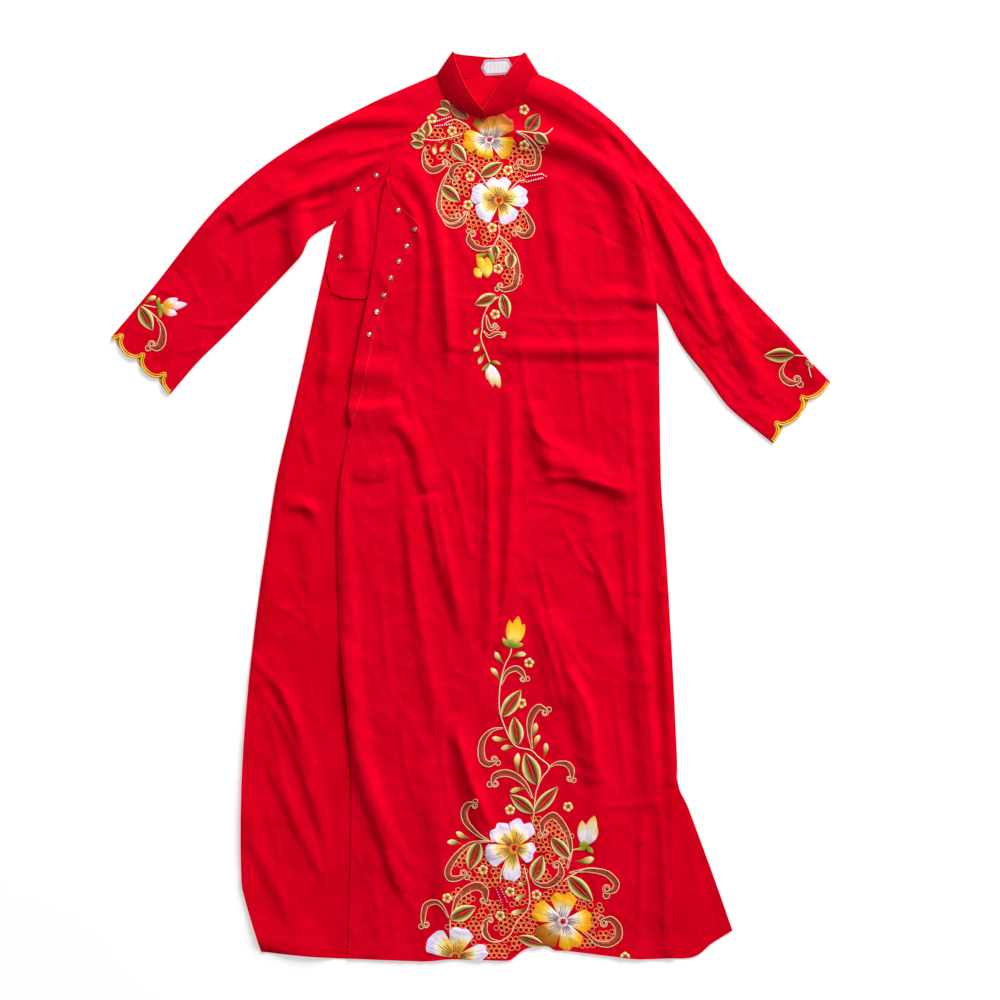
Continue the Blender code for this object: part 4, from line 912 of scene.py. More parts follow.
def clear_of_motifs(places):
    """Which places lie far enough from every stitched motif for an eyelet's ring."""
    spans = [(chart((x, y)), chart((x, y)), 6.5) for x, y in SMALL_BLOSSOMS]
    spans += [(chart((x, y)), chart((u, v)), 0.36 * w * CHART_SQUARE) for x, y, u, v, w, _ in LEAVES]
    spans += [(chart((x, y)), chart((u, v)), 0.3 * w * CHART_SQUARE) for x, y, u, v, w in DROPS]
    spans += [(chart(row[:2]), chart(row[2:4]), 3.0) for rows in BEAD_ROWS.values() for row in rows]
    for eye, flower_petals in BLOSSOMS:
        eye = chart(eye)
        for x, y, half_width, *_ in flower_petals:
            way = chart((x, y)) - eye
            spans.append((eye + 0.3 * way, eye + 0.62 * way, 0.8 * half_width * CHART_SQUARE))
    clear = np.ones(len(places), bool)
    for start, stop, reach in spans:
        clear &= distance_to_line(places, np.array((start, stop + 1e-6)))[0] > reach + 2.8
    for outer, inner in scroll_pairs:
        clear &= distance_to_line(places, ((outer + inner) / 2)[::3])[0] > 4.6
    return clear


def more_eyelets(centres, border):
    """What is left of the fields between the motifs is filled as closely as the rings can lie."""
    spare = []
    for x, y, half_width, half_height, turn in EYELET_FIELDS:
        c, s = math.cos(math.radians(turn)), math.sin(math.radians(turn))
        u, v = np.meshgrid(*(np.arange(-1.35, 1.36, 2.1 / half) for half in (half_width, half_height)))
        u, v = u.ravel(), v.ravel()
        inside = np.hypot(u, v) < 1.35
        u, v = u[inside] * half_width, v[inside] * half_height
        spare.append(np.stack((x + u * c - v * s, y + u * s + v * c), -1))
    spare = np.vstack(spare)
    spare = spare[within(spare, border)]
    spare = spare[distance_to_line(spare, np.vstack((border, border[:1]))[::2])[0] > EYELET_EDGE]
    spare = spare[clear_of_motifs(spare)]
    for place in spare:
        if np.hypot(*(centres - place).T).min() > 0.96 * EYELET_PITCH:
            centres = np.vstack((centres, place))
    return centres


# %% [markdown]
# ## The front and its turned-back opening
# The front and the turned-back flap are one cloth, so they are one mesh: the front's sheet, a
# few rows of faces that roll round the fold, and the flap's sheet above. The flap then shows the
# cloth's wrong side by itself, because the roll turns the sheet over.

# %% Front cloth
before_fold = joined(smooth_line(FRONT_NECK, 4), smooth_line(FRONT_LEFT_RAGLAN, 4),
                     smooth_line(FRONT_LEFT_SIDE, 4), smooth_line(FRONT_HEM, 4), smooth_line(FRONT_SLIT, 4))
opening = smooth_line(OPENING_FOLD, 4)
front_border = joined(before_fold, opening, smooth_line(FRONT_RIGHT_RAGLAN, 4))
eyelets = more_eyelets(eyelet_centres(front_border), front_border)
print("eyelets:", len(eyelets), "of them on the chest:", int((eyelets[:, 1] > 600).sum()))

hole_turns = np.arange(14) * 2 * math.pi / 14
front_plan, front_faces = cut_sheet(
    front_border, holes=[round_points(centre, EYELET_RADIUS, hole_turns) for centre in eyelets])
flap_border = joined(opening, smooth_line(FLAP_RAGLAN_EDGE, 4), smooth_line(FLAP_SIDE_EDGE, 4))
flap_plan, flap_faces = cut_sheet(flap_border)
front_points = np.column_stack((front_plan, front_height(front_plan)))
flap_points = np.column_stack((flap_plan, flap_height(flap_plan)))

outward = sideways(opening)
outward *= np.sign((outward @ np.array((-1.0, 0.0))).mean())
first = int(np.argmin(np.hypot(*(front_border - opening[0]).T)))
strips = [list(range(first, first + len(opening)))]
roll = []
for angle in FOLD_ANGLES:
    turn = math.radians(angle)
    strips.append(list(range(len(front_points) + len(roll), len(front_points) + len(roll) + len(opening))))
    low, high = front_points[strips[0], 2], flap_points[:len(opening), 2]
    height = low + (high - low) * (1 - math.cos(turn)) / 2
    roll += list(np.column_stack((opening + outward * TURN_RADIUS * math.sin(turn), height)))
flap_start = len(front_points) + len(roll)
strips.append(list(range(flap_start, flap_start + len(opening))))
roll_faces = [(a, b, c, d) for low, high in zip(strips, strips[1:])
              for a, b, c, d in zip(low, low[1:], high[1:], high)]
front_cloth = make_piece(
    "front_cloth", np.vstack((front_points, roll, flap_points)),
    front_faces + roll_faces + [[i + flap_start for i in face] for face in flap_faces],
    (crepe, lit_turned_crepe), top_face=0)
thicken(front_cloth, CLOTH, 1)
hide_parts("front_panel")
print("front cloth:", len(front_cloth.data.polygons), "faces in one layer")

# %% [markdown]
# ## The back and the inner flap
# What shows of the back, beside the front, is its wrong side. It is the lowest layer, so it is
# flat on the table wherever the front covers it, and only its free edges lift a little.

# %% Sleeve edges in plan
ARM_ROWS, SHOULDER_ROWS, SCALLOP_DEPTH = 96, 56, 15
RIGHT_SCALLOPS, LEFT_SCALLOPS = (8.0, 43.3), (-11.4, 54.5)
CUFF_STAND, CUFF_FADE = 2.5, 30
# the lower layer's scallops lie a little further along and stand a little shorter
LOWER_SHIFT, LOWER_SHARE = 0.16, 0.92
SLEEVES = {
    "right": (RIGHT_OUTER, RIGHT_INNER, RIGHT_FRONT_RAGLAN, RIGHT_BACK_RAGLAN, 0.50, RIGHT_SCALLOPS),
    "left": (LEFT_OUTER, LEFT_INNER, LEFT_FRONT_RAGLAN, LEFT_BACK_RAGLAN, 0.40, LEFT_SCALLOPS),
}


def toward_hand(side):
    """The way along a sleeve's inner edge to the hand."""
    inner = SLEEVES[side][1]
    return np.subtract(inner[0], inner[1]) / math.dist(inner[0], inner[1])


def outward_of(points, others):
    """Unit vectors square to a line of points, away from the others."""
    normal = -sideways(points)
    return normal * np.where(((others - points) * normal).sum(1) > 0, -1, 1)[:, None]


def sleeve_layer(side, which):
    """Rows of one layer in plan from the cuff to the neck, and its two outward directions."""
    outer, inner, front_seam, back_seam, share, (first, pitch) = SLEEVES[side]
    outer_line, inner_line = smooth_line(outer, 6), smooth_line(inner, 6)
    seam_line = smooth_line(front_seam if which == "front" else back_seam, 6)
    width = math.dist(outer[0], inner[0])
    cusps = [first + pitch * i for i in range(5) if 2 < first + pitch * i < width - 2]
    columns = np.unique(np.round(np.concatenate((np.linspace(0, width, 39), cusps)), 2)) / width
    arm, shoulder = np.linspace(0, 1, ARM_ROWS), np.linspace(0, 1, SHOULDER_ROWS + 1)[1:]
    starts = evenly(outer_line, np.concatenate((share * arm, share + (1 - share) * shoulder)))
    ends = np.vstack((evenly(inner_line, arm), evenly(seam_line, shoulder)))
    out_start = outward_of(starts, ends) * SLEEVE_FOLD_RADIUS
    out_end = outward_of(ends[:ARM_ROWS], starts[:ARM_ROWS]) * SLEEVE_FOLD_RADIUS
    out_end = np.vstack((out_end, np.zeros((SHOULDER_ROWS, 2))))
    left, right = starts - out_start, ends - out_end
    rows = left[:, None] * (1 - columns[None, :, None]) + right[:, None] * columns[None, :, None]
    # the scalloped edge stands out past the cuff line and fades away up the sleeve
    phase = (columns * width - first) / pitch + (LOWER_SHIFT if which == "back" else 0)
    bulge = CUFF_STAND + SCALLOP_DEPTH * np.sqrt(np.maximum(0, 1 - (2 * (phase % 1) - 1) ** 2))
    if which == "back":
        bulge *= LOWER_SHARE
    from_cuff = np.linspace(0, lengths_along(inner_line)[-1], ARM_ROWS)
    fade = np.concatenate((np.clip(1 - from_cuff / CUFF_FADE, 0, 1), np.zeros(SHOULDER_ROWS)))
    rows += fade[:, None, None] * bulge[None, :, None] * toward_hand(side)
    return rows, out_start, out_end


sleeve_plans = {side: {which: sleeve_layer(side, which) for which in ("front", "back")} for side in SLEEVES}
print("sleeve rows and columns:", sleeve_plans["right"]["front"][0].shape[:2])

# %% Back cloth and inner flap
SEAM_GAP = 0.35


def sleeve_seam(side, which, away):
    """The raglan seam's points as the sleeve has them, moved off it by the seam's gap."""
    points = sleeve_plans[side][which][0][ARM_ROWS - 1:, -1]
    return points - sideways(points) * SEAM_GAP * away


left_seam = sleeve_seam("left", "back", -1)
right_seam = sleeve_seam("right", "back", 1)
back_border = joined(
    *(smooth_line(edge, 5) for edge in (BACK_RIGHT_SIDE, BACK_HEM, BACK_LEFT_SIDE)),
    left_seam[1:-1], smooth_line(BACK_NECK, 5), right_seam[-2:0:-1])
back_plan, back_faces = cut_sheet(back_border, 5)
back_cloth = make_piece("back_cloth", np.column_stack((back_plan, back_height(back_plan))), back_faces,
                        (crepe_wrong, crepe), top_face=0)
thicken(back_cloth, CLOTH, 1)
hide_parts("back_panel")

front_seam = sleeve_seam("right", "front", 1)
below = np.array([p for p in front_seam[::-1] if p[1] < UNDERLAP_SEAM_START[1] - 8])
underlap_border = joined((UNDERLAP_SEAM_START,), below[:-1], smooth_line(UNDERLAP_SIDE, 4),
                         smooth_line(UNDERLAP_HEM, 4), smooth_line(UNDERLAP_INNER, 4))
underlap_plan, underlap_faces = cut_sheet(underlap_border)
underlap_cloth = make_piece(
    "underlap_cloth", np.column_stack((underlap_plan, underlap_height(underlap_plan))), underlap_faces,
    (crepe, crepe_wrong), top_face=0)
thicken(underlap_cloth, CLOTH, 1)
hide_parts("underlap")
print("back:", len(back_faces), "faces, inner flap:", len(underlap_faces), "faces in one layer")

# %% [markdown]
# ## The raglan sleeves
# A laid sleeve is a tube pressed flat: two layers with a rounded fold along each side. Past the
# underarm it opens into the raglan shoulder, whose seams run up to the neck. Rows of points go
# round the tube, so the cloth follows the arm. Near the neck the left sleeve rises to the
# front's level, because the two are sewn together there.

# %% Sleeve heights


def under_front(places, height):
    """Keep a lower layer clear of the front where the front lies over it."""
    covered = within(places, front_border)
    height[covered] = np.minimum(height[covered], front_height(places[covered]) - 1.5)
    return height


def sleeve_folds(places, seam, fade, folds, creases, turn, seed):
    """A sleeve's folds, which fade out at its raglan seam."""
    from_seam = distance_to_line(places, smooth_line(seam, 12))[0]
    low = folds_at(places, folds) + 1.7 * folds_at(places, creases) + rumpled(places, turn, seed, 1.1)
    return SLEEVE_LEVEL + smooth_step(from_seam, *fade) * np.maximum(settled(low, 10.5, 0.55), -1.2)


def right_sleeve_height(places):
    """The right sleeve lies under the front's edge."""
    height = sleeve_folds(places, RIGHT_FRONT_RAGLAN, (8, 30),
                          RIGHT_SLEEVE_FOLDS, RIGHT_SLEEVE_CREASES, -52, 51)
    return under_front(places, height)


def left_sleeve_height(places):
    """The left sleeve rises to the front where the two are sewn together."""
    height = sleeve_folds(places, LEFT_FRONT_RAGLAN, (4, 22),
                          LEFT_SLEEVE_FOLDS, LEFT_SLEEVE_CREASES, 42, 61)
    sewn = distance_to_line(places, smooth_line(LEFT_FRONT_RAGLAN[4:], 12))[0]
    share = 1 - smooth_step(sewn, 0, 46)
    return under_front(places, height * (1 - share) + share * front_height(places))


sleeve_heights = {"right": right_sleeve_height, "left": left_sleeve_height}

# %% Sleeve cloth


def folded_side(start, end, outward, angles=FOLD_ANGLES):
    """Points round the fold between two layers."""
    turns = np.radians(angles)
    return [start + (end - start) * (1 - math.cos(t)) / 2 + outward * math.sin(t) for t in turns]


def sleeve_rings(side):
    """Rings of points round a sleeve's two layers, cuff to neck; past the underarm they are open."""
    front, out_start, out_end = sleeve_plans[side]["front"]
    back = sleeve_plans[side]["back"][0]
    rows, columns = front.shape[:2]
    top = np.concatenate((front, sleeve_heights[side](front.reshape(-1, 2)).reshape(rows, columns, 1)), 2)
    base = np.concatenate((back, np.full((rows, columns, 1), BACK_LEVEL)), 2)[:, ::-1]
    rings = []
    for i in range(rows):
        ring = [*base[i], *folded_side(base[i, -1], top[i, 0], np.append(out_start[i], 0)), *top[i]]
        if i < ARM_ROWS:
            ring += folded_side(top[i, -1], base[i, 0], np.append(out_end[i], 0))
        rings.append(ring)
    return rings


def make_sleeve(side, node):
    """A sleeve's rings joined into cloth, in place of its CAD node."""
    rings = sleeve_rings(side)
    starts = np.cumsum([0] + [len(ring) for ring in rings])
    faces = []
    for row in range(len(rings) - 1):
        low, high = starts[row], starts[row + 1]
        closed = len(rings[row + 1]) == len(rings[0])
        for i in range(len(rings[row + 1]) - (0 if closed else 1)):
            j = (i + 1) % len(rings[row])
            faces.append((low + i, low + j, high + j, high + i))
    columns = sleeve_plans[side]["front"][0].shape[1]
    piece = make_piece(f"{side}_sleeve_cloth", np.vstack(rings), faces, (crepe, crepe_wrong),
                       top_face=columns + len(FOLD_ANGLES) + columns // 2)
    thicken(piece, CLOTH, 1)
    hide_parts(node)
    return piece


right_sleeve = make_sleeve("right", "sleeve_right")
left_sleeve = make_sleeve("left", "sleeve_left")
print("sleeve faces in one layer:", len(right_sleeve.data.polygons), len(left_sleeve.data.polygons))

# %% [markdown]
# ## The stand collar
# A stand collar is a curved band of two layers on stiff interfacing. Lying down, it is a loop
# pressed flat, with its right end over its left. Its rows of marks give the seam and the free
# edge; a smooth line through them makes the loop, and a slight bow across the band keeps it
# from looking like folded card.

# %% Collar marks: x, y, z of the neck seam, then of the free edge
COLLAR, COLLAR_STAND, COLLAR_BOW, COLLAR_COLUMNS = 1.4, 10.0, 2.0, 15
COLLAR_FOLD_RADIUS, COLLAR_FOLD_ANGLES = 3.5, (40, 90, 140)
COLLAR_BACK = (
    (-47, 1284, 2.2, -25, 1316, 1.4), (-30, 1281, 2.2, -14, 1314, 1.2), (-5, 1280, 2.2, 6, 1312, 1.2),
    (24, 1280, 2.2, 30, 1310, 1.2), (55, 1280, 2.2, 52, 1311, 1.2), (80, 1280, 2.2, 66, 1313, 1.2),
    (94, 1283, 2.2, 74, 1315, 1.4),
)
COLLAR_RIGHT = (
    (-48, 1284, 7.7, -26, 1316, 8.5), (-42, 1264, 7.8, -24, 1303, 11.5), (-34, 1249, 8.0, -17, 1284, 13.0),
    (-20, 1236, 8.4, -8, 1264, 13.0), (-2, 1226, 9.2, 4, 1246, 12.0), (20, 1219, 9.8, 17, 1231, 10.4),
)
COLLAR_LEFT = (
    (13, 1221, 7.2, 10, 1226, 7.3), (38, 1228, 7.2, 25, 1248, 9.0), (55, 1238, 7.4, 37, 1268, 11.5),
    (71, 1250, 7.6, 50, 1284, 12.5), (84, 1263, 7.6, 61, 1300, 11.5), (94, 1283, 7.7, 74, 1315, 8.5),
)


def collar_side(start, end, side):
    """Rows round a folded side of the collar."""
    start, end = np.array(start), np.array(end)
    out = np.array((start[4] - start[1], start[0] - start[3], 0))
    out *= COLLAR_FOLD_RADIUS * side / np.linalg.norm(out)
    halves = (folded_side(start[part], end[part], out, COLLAR_FOLD_ANGLES)
              for part in (slice(0, 3), slice(3, 6)))
    return [np.concatenate(pair) for pair in zip(*halves)]


# %% Collar band
collar_rows = np.array([*COLLAR_RIGHT[::-1], *collar_side(COLLAR_RIGHT[0], COLLAR_BACK[0], -1), *COLLAR_BACK,
                        *collar_side(COLLAR_BACK[-1], COLLAR_LEFT[-1], 1), *COLLAR_LEFT[::-1]], float)
collar_rows = smooth_line(collar_rows, 2.5)
collar_shares = np.linspace(0, 1, COLLAR_COLUMNS)
seam_row, free_row, across = collar_rows[:, None, :3], collar_rows[:, None, 3:], collar_shares[:, None]
collar_grid = seam_row * (1 - across) + free_row * across
on_front = smooth_step(collar_grid[:, :, 2], 5, 8)
collar_grid[:, :, 2] += (COLLAR_STAND * collar_shares + COLLAR_BOW * np.sin(np.pi * collar_shares)) * on_front
collar_faces = grid_faces(len(collar_rows), COLLAR_COLUMNS)
# the collar's crepe is a darker copy of the crepe: painted shade
collar_band = make_piece("collar_band", collar_grid.reshape(-1, 3), collar_faces, (shaded_collar_crepe, shaded_collar_crepe),
                         top_face=12 * (COLLAR_COLUMNS - 1))
thicken(collar_band, COLLAR)
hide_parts("collar")
print("collar rows:", len(collar_rows))

# %% [markdown]
# ## Silk thread
# The embroidery is machine satin stitch in rayon thread: long parallel stitches lying side by
# side, each a shade apart from its neighbour, with a soft shine along the thread. Shades meet
# in long and short stitches, so one colour runs into the next with ragged ends. Each stitched
# shape carries two numbers at every point: its shade, and which strand it lies on. The material
# turns the first into colour, and uses the second for the ragged ends and the threads' relief.

# %% Thread materials
# Rayon thread is 0.4 mm thick; its strands are drawn 1.0 mm apart so that they show.
STRAND_DRAWN = 1.0


def silk_thread(name, shades, roughness=0.42, ragged=0.22):
    """Satin stitch: shades from the root to the rim, ragged from strand to strand, with a soft shine."""
    material, shader = new_material(name, {
        "Roughness": roughness, "IOR": 1.5, "Specular IOR Level": 0.3, "Sheen Weight": 0.15,
        "Sheen Roughness": 0.3,
    })
    shade = add_node(material, "Attribute", {"attribute_name": "shade"}).outputs["Fac"]
    strand = add_node(material, "Attribute", {"attribute_name": "strand"}).outputs["Fac"]
    place = add_node(material, "CombineXYZ", None, {"X": strand}).outputs[0]
    jump = add_node(material, "TexNoise", {"Scale": 1 / STRAND_DRAWN, "Detail": 1.0}, {"Vector": place})
    even = add_node(material, "Math", {"operation": "SUBTRACT", 1: 0.5}, {0: jump.outputs["Fac"]})
    end = add_node(material, "Math", {"operation": "MULTIPLY_ADD", 1: 2 * ragged},
                   {0: even.outputs[0], 2: shade})
    colour = add_node(material, "ValToRGB", {"stops": shades}, {"Fac": end.outputs[0]})
    lift = add_node(material, "Bump", {"Strength": 0.5, "Distance": 0.0004}, {"Height": jump.outputs["Fac"]})
    connect(material, shader, {"Base Color": colour.outputs["Color"], "Normal": lift.outputs["Normal"]})
    return material


# Shades run from a shape's root to its rim: a light blossom's silk turns from gold to white, and a
# leaf's from olive to cream.
gold_silk = silk_thread("gold_silk",
    ((0, "#f2ccd0"), (0.4, "#fff0ec"), (0.6, "#ffd970"), (0.78, "#ffb80c"), (1, "#f09a00")))
# the gold darkened for petals that lie in shade: painted shade
gold_silk_in_shade = silk_thread("gold_silk_in_shade",
    ((0, "#e6b4b8"), (0.36, "#ecd0b4"), (0.58, "#d08c28"), (0.8, "#b86404"), (1, "#9a4c00")))
white_silk = silk_thread(
    "white_silk", ((0, "#e0780c"), (0.3, "#f8ac1c"), (0.52, "#ffdc70"), (0.68, "#fdf3ea"),
                   (0.88, "#e6d4f4"), (1, "#f4e8fb")))
leaf_silk = silk_thread("leaf_silk",
    ((0, "#4d4104"), (0.3, "#7d7420"), (0.55, "#c7b160"), (0.8, "#ffe8ae"), (1, "#f0c67c")), ragged=0.15)
shaded_leaf_silk = silk_thread("shaded_leaf_silk",
    ((0, "#3a2a02"), (0.45, "#6a5414"), (0.8, "#b08c46"), (1, "#c9a566")), ragged=0.15)
drop_silk = silk_thread("drop_silk",
    ((0, "#7c5a10"), (0.4, "#7f7c1c"), (0.68, "#d9c46e"), (1, "#fff0bd")), ragged=0.1)
cream_silk = silk_thread("cream_silk",
    ((0, "#a8741a"), (0.35, "#e3bf5e"), (0.7, "#fbe9a8"), (1, "#f5dd90")), ragged=0.12)
bud_silk = silk_thread("bud_silk", ((0, "#c9b02a"), (0.25, "#ffe16a"), (0.6, "#ffc71c"), (1, "#f0a010")))
tipped_bud_silk = silk_thread("tipped_bud_silk",
    ((0, "#e08408"), (0.42, "#f4ae34"), (0.62, "#fbe8ee"), (1, "#f2d8f2")))
white_bud_silk = silk_thread("white_bud_silk",
    ((0, "#e9d9ee"), (0.45, "#fbf2f2"), (0.7, "#f5d9a0"), (1, "#e8a83c")))
green_silk = silk_thread("green_silk", ((0, "#5e6a08"), (0.5, "#8f9a1c"), (1, "#c9b450")), ragged=0.12)
copper_silk = silk_thread("copper_silk", ((0, "#6e140e"), (0.5, "#9c2e18"), (1, "#c05c32")), 0.5, 0.4)
peach_silk = silk_thread("peach_silk", ((0, "#ffb27c"), (0.5, "#ffcf9c"), (1, "#ffe3b4")), ragged=0.3)
ring_silk = silk_thread("ring_silk", ((0, "#e04418"), (0.5, "#ff7436"), (1, "#ffa060")), ragged=0.3)
ray_silk = silk_thread("ray_silk", ((0, "#8a1f4c"), (0.4, "#5d2550"), (1, "#4a2c5e")), ragged=0.1)
vein_silk = silk_thread("vein_silk", ((0, "#e2405a"), (1, "#f0606e")), ragged=0.2)
eye_silk = silk_thread("eye_silk", ((0, "#b8061c"), (1, "#d8102c")), ragged=0.2)
edge_silk = silk_thread("edge_silk",
    ((0, "#6e2c04"), (0.4, "#d07408"), (0.8, "#ffb018"), (1, "#ffcc38")), ragged=0.1)

# %% [markdown]
# ## Stitches that follow the cloth
# Every stitched shape is first a flat grid on the plan, with a small rise above the cloth at
# each point. All the grids of one thread are then laid on the cloth together: each point takes
# the height of the uppermost cloth below it, so the embroidery bends with the folds.

# %% Height of the uppermost cloth


def cloth_top(places):
    """The upper face of whatever cloth is uppermost at each place, apart from the turned-back flap."""
    places = np.asarray(places, float)
    height = np.empty(len(places))
    on_front = within(places, front_border)
    arm_right = ~on_front & (places[:, 0] < 0)
    arm_left = ~on_front & (places[:, 0] >= 0)
    low = places[:, 1] < 300
    for chosen, rule in ((on_front | low, front_height), (arm_right & ~low, right_sleeve_height),
                         (arm_left & ~low, left_sleeve_height)):
        if chosen.any():
            height[chosen] = rule(places[chosen])
    return height + CLOTH / 2


# %% Stitched shapes as grids: places, rises, shades, strands, and whether they close


def thread_noise(seed, count, strength):
    """Small uneven rises from thread to thread."""
    return np.random.default_rng(seed).normal(0, strength, count)


def mark_points(piece, label, values):
    """Give every point of a piece a number that its material can read."""
    marks = piece.data.attributes.new(label, "FLOAT", "POINT")
    marks.data.foreach_set("value", np.ravel(values).astype(np.float32))


def sew(name, shapes, material, wall=0.0, ground=cloth_top):
    """One piece from many stitched grids laid on the cloth, or on another ground."""
    top = ground(np.vstack([shape[0].reshape(-1, 2) for shape in shapes]))
    points, faces, shades, strands, start = [], [], [], [], 0
    for places, rises, shade, strand, round_across, round_along in shapes:
        rows, columns = places.shape[:2]
        count = rows * columns
        height = top[start:start + count] + rises.ravel()
        points.append(np.column_stack((places.reshape(-1, 2), height)))
        shades.append(np.broadcast_to(shade, (rows, columns)).ravel())
        strands.append(np.broadcast_to(strand, (rows, columns)).ravel())
        faces += grid_faces(rows, columns, start, round_across, round_along)
        if round_across and not round_along:
            faces.append(tuple(range(start + columns - 1, start - 1, -1)))
            faces.append(tuple(range(start + count - columns, start + count)))
        start += count
    piece = make_piece(name, np.vstack(points), faces, (material,))
    work = bmesh.new()
    work.from_mesh(piece.data)
    bmesh.ops.recalc_face_normals(work, faces=work.faces)
    if not shapes[0][4]:  # open grids have no inside, so all their faces are turned up
        bmesh.ops.reverse_faces(work, faces=[face for face in work.faces if face.normal.z < 0])
    work.to_mesh(piece.data)
    work.free()
    for label, values in (("shade", np.concatenate(shades)), ("strand", np.concatenate(strands))):
        mark_points(piece, label, values)
    return thicken(piece, wall, offset=-1) if wall else piece


def cord(path, radius, closed=False, taper=True, number=0):
    """A line of stitches as a low round cord along a path on the plan."""
    path = np.asarray(path, float)
    turns = np.arange(6) * math.pi / 3
    length = lengths_along(path)
    size = np.full(len(path), float(radius))
    if closed:
        ahead, behind = np.roll(path, -1, 0), np.roll(path, 1, 0)
        run = ahead - behind
        left = np.stack((-run[:, 1], run[:, 0]), -1) / np.linalg.norm(run, axis=1)[:, None]
    else:
        left = sideways(path)
        if taper:
            size *= 0.35 + 0.65 * np.minimum(1, np.minimum(length, length[-1] - length) / (2.5 * radius))
    places = path[:, None] + left[:, None] * (size[:, None] * np.cos(turns))[:, :, None]
    rises = radius * 0.6 + size[:, None] * 0.8 * np.sin(turns)[None]
    # a cord's upper half takes the light end of its thread's shades and its underside the dark end: painted
    # light and shade
    shade = 0.5 + 0.5 * np.sin(turns)[None] + 0 * size[:, None]
    return places, rises, shade, (length + 37.7 * number)[:, None], True, closed


def motif_axis(base, tip):
    """A motif's base on the plan, the way to its tip, that way's length, and the unit way across."""
    base, tip = chart(base), chart(tip)
    along, length = tip - base, np.linalg.norm(tip - base)
    return base, along, length, np.array((-along[1], along[0])) / length


def lobe(base, tip, width, fat=0.55, bow=0.0, number=0, rise=0.8):
    """A drop of satin stitches, narrow at its base: width at its fattest, bowed to one side."""
    base, along, length, across = motif_axis(base, tip)
    u, v = np.linspace(0, 1, 15)[:, None], np.linspace(-1, 1, 9)[None]
    bulge = np.sin(np.pi * u ** (math.log(0.5) / math.log(fat))) ** 0.75
    middle = base + u[:, :, None] * along + (bow * length * np.sin(np.pi * u))[:, :, None] * across
    places = middle + (bulge * v * width * CHART_SQUARE / 2)[:, :, None] * across
    rises = 0.35 + rise * np.sqrt(np.maximum(0, 1 - v * v)) * bulge + thread_noise(number, 9, 0.06)[None]
    return places, rises, u + 0 * v, v * width + 19.3 * number + 0 * u, False, False


def petal(centre, tip, half_width, notch=0.08, number=0, fullness=0.24):
    """A fan of satin stitches from the eye to a rounded, wavy rim."""
    centre, along, _, across = motif_axis(centre, tip)
    u, v = np.linspace(0.09, 1, 20)[:, None], np.linspace(-1, 1, 31)[None]
    rim = 1 - fullness * np.abs(v) ** 3 - notch * np.exp(-(v / 0.24) ** 2) + 0.025 * np.sin(6.5 * v + number)
    reach, spread = u * rim, half_width * CHART_SQUARE * u ** 0.78 * (1 + 0.04 * np.sin(3 * u + number))
    places = centre + reach[:, :, None] * along + (spread * v)[:, :, None] * across
    dome = np.sqrt(np.maximum(0, 1 - v * v)) * np.sin(np.pi * np.clip(u, 0, 1) ** 1.2) ** 0.6
    rises = 0.9 + 1.0 * dome + thread_noise(number, 31, 0.12)[None] * (0.3 + u)
    strand = v * half_width * 1.6 + 53.1 * number + 0 * u
    return places, rises, u + 0.10 * v * np.sin(number), strand, False, False


def petal_line(centre, tip, half_width, v, start, stop):
    """A line along a petal, from the eye outwards, at the share v of its width."""
    centre, along, _, across = motif_axis(centre, tip)
    u = np.linspace(start, stop, 9)[:, None]
    return centre + u * along * (1 - 0.24 * abs(v) ** 3) + half_width * CHART_SQUARE * u ** 0.78 * v * across


def lifted(shape, height):
    """The same stitches lying higher, on top of others."""
    return (shape[0], shape[1] + height, *shape[2:])


# %% [markdown]
# ## Eyelet rings
# Each eyelet's edge is bound with a close ring of orange stitches, which hides the cut edge of
# the cloth. A ring is a cord that closes on itself, a little uneven from one to the next.

# %% Eyelet rings
RING_RADIUS, RING_CORD = 3.35, 0.6
rings = []
for number, centre in enumerate(eyelets):
    turns = np.arange(18) * math.pi / 9
    uneven = 1 + 0.05 * np.sin(2 * turns + number * 1.7)
    circle = round_points(centre, (RING_RADIUS * uneven)[:, None], turns)
    rings.append(cord(circle, RING_CORD, closed=True, number=number))
sew("eyelet_rings", rings, ring_silk)
print("eyelet rings:", len(rings))

# %% [markdown]
# ## Large blossoms
# Five hibiscus blossoms: two on the chest and three at the hem. Each has five broad petals
# stitched from the red eye outwards, with dark rays near the eye and red cloth showing between
# the petals. The light ones are gold inside and white at the rim; the gold ones the other way.

# %% Blossoms
# petals marked old take the gold darkened as painted shade
petal_threads = {"gold": gold_silk, "old": gold_silk_in_shade, "white": white_silk}
petals = {thread: [] for thread in petal_threads}
rays, eyes = [], []
for flower, (eye, flower_petals) in enumerate(BLOSSOMS):
    for number, (x, y, half_width, notch, thread) in enumerate(flower_petals):
        key = 5 * flower + number
        petals[thread].append(petal(eye, (x, y), half_width, notch, key))
        for v, stop in ((-0.6, 0.44), (-0.24, 0.56), (0.08, 0.62), (0.4, 0.52), (0.7, 0.4)):
            stop += 0.06 * math.sin(9 * v + key)
            line = petal_line(eye, (x, y), half_width, v, 0.16, stop)
            rays.append(lifted(cord(line, 0.34, number=key), 1.8))
        line = petal_line(eye, (x, y), half_width, 1.08, 0.05, 0.34)
        eyes.append(lifted(cord(line, 0.5, number=key), 0.7))
    turns = np.linspace(0, 2 * math.pi, 13)[:-1]
    eyes.append(lifted(cord(round_points(chart(eye), 0.9, turns), 1.0, closed=True), 1.1))
for thread, shapes in petals.items():
    sew(f"blossom_petals_{thread}", shapes, petal_threads[thread], wall=0.3)
sew("blossom_rays", rays, ray_silk)
sew("blossom_eyes", eyes, eye_silk)
print("large petals:", sum(len(shapes) for shapes in petals.values()), "rays:", len(rays))

# %% [markdown]
# ## Small blossoms
# Little five-petal flowers of cream thread, each petal one drop of stitches round a dark eye.

# %% Small blossoms
HALF_BLOSSOM = (625, 957)


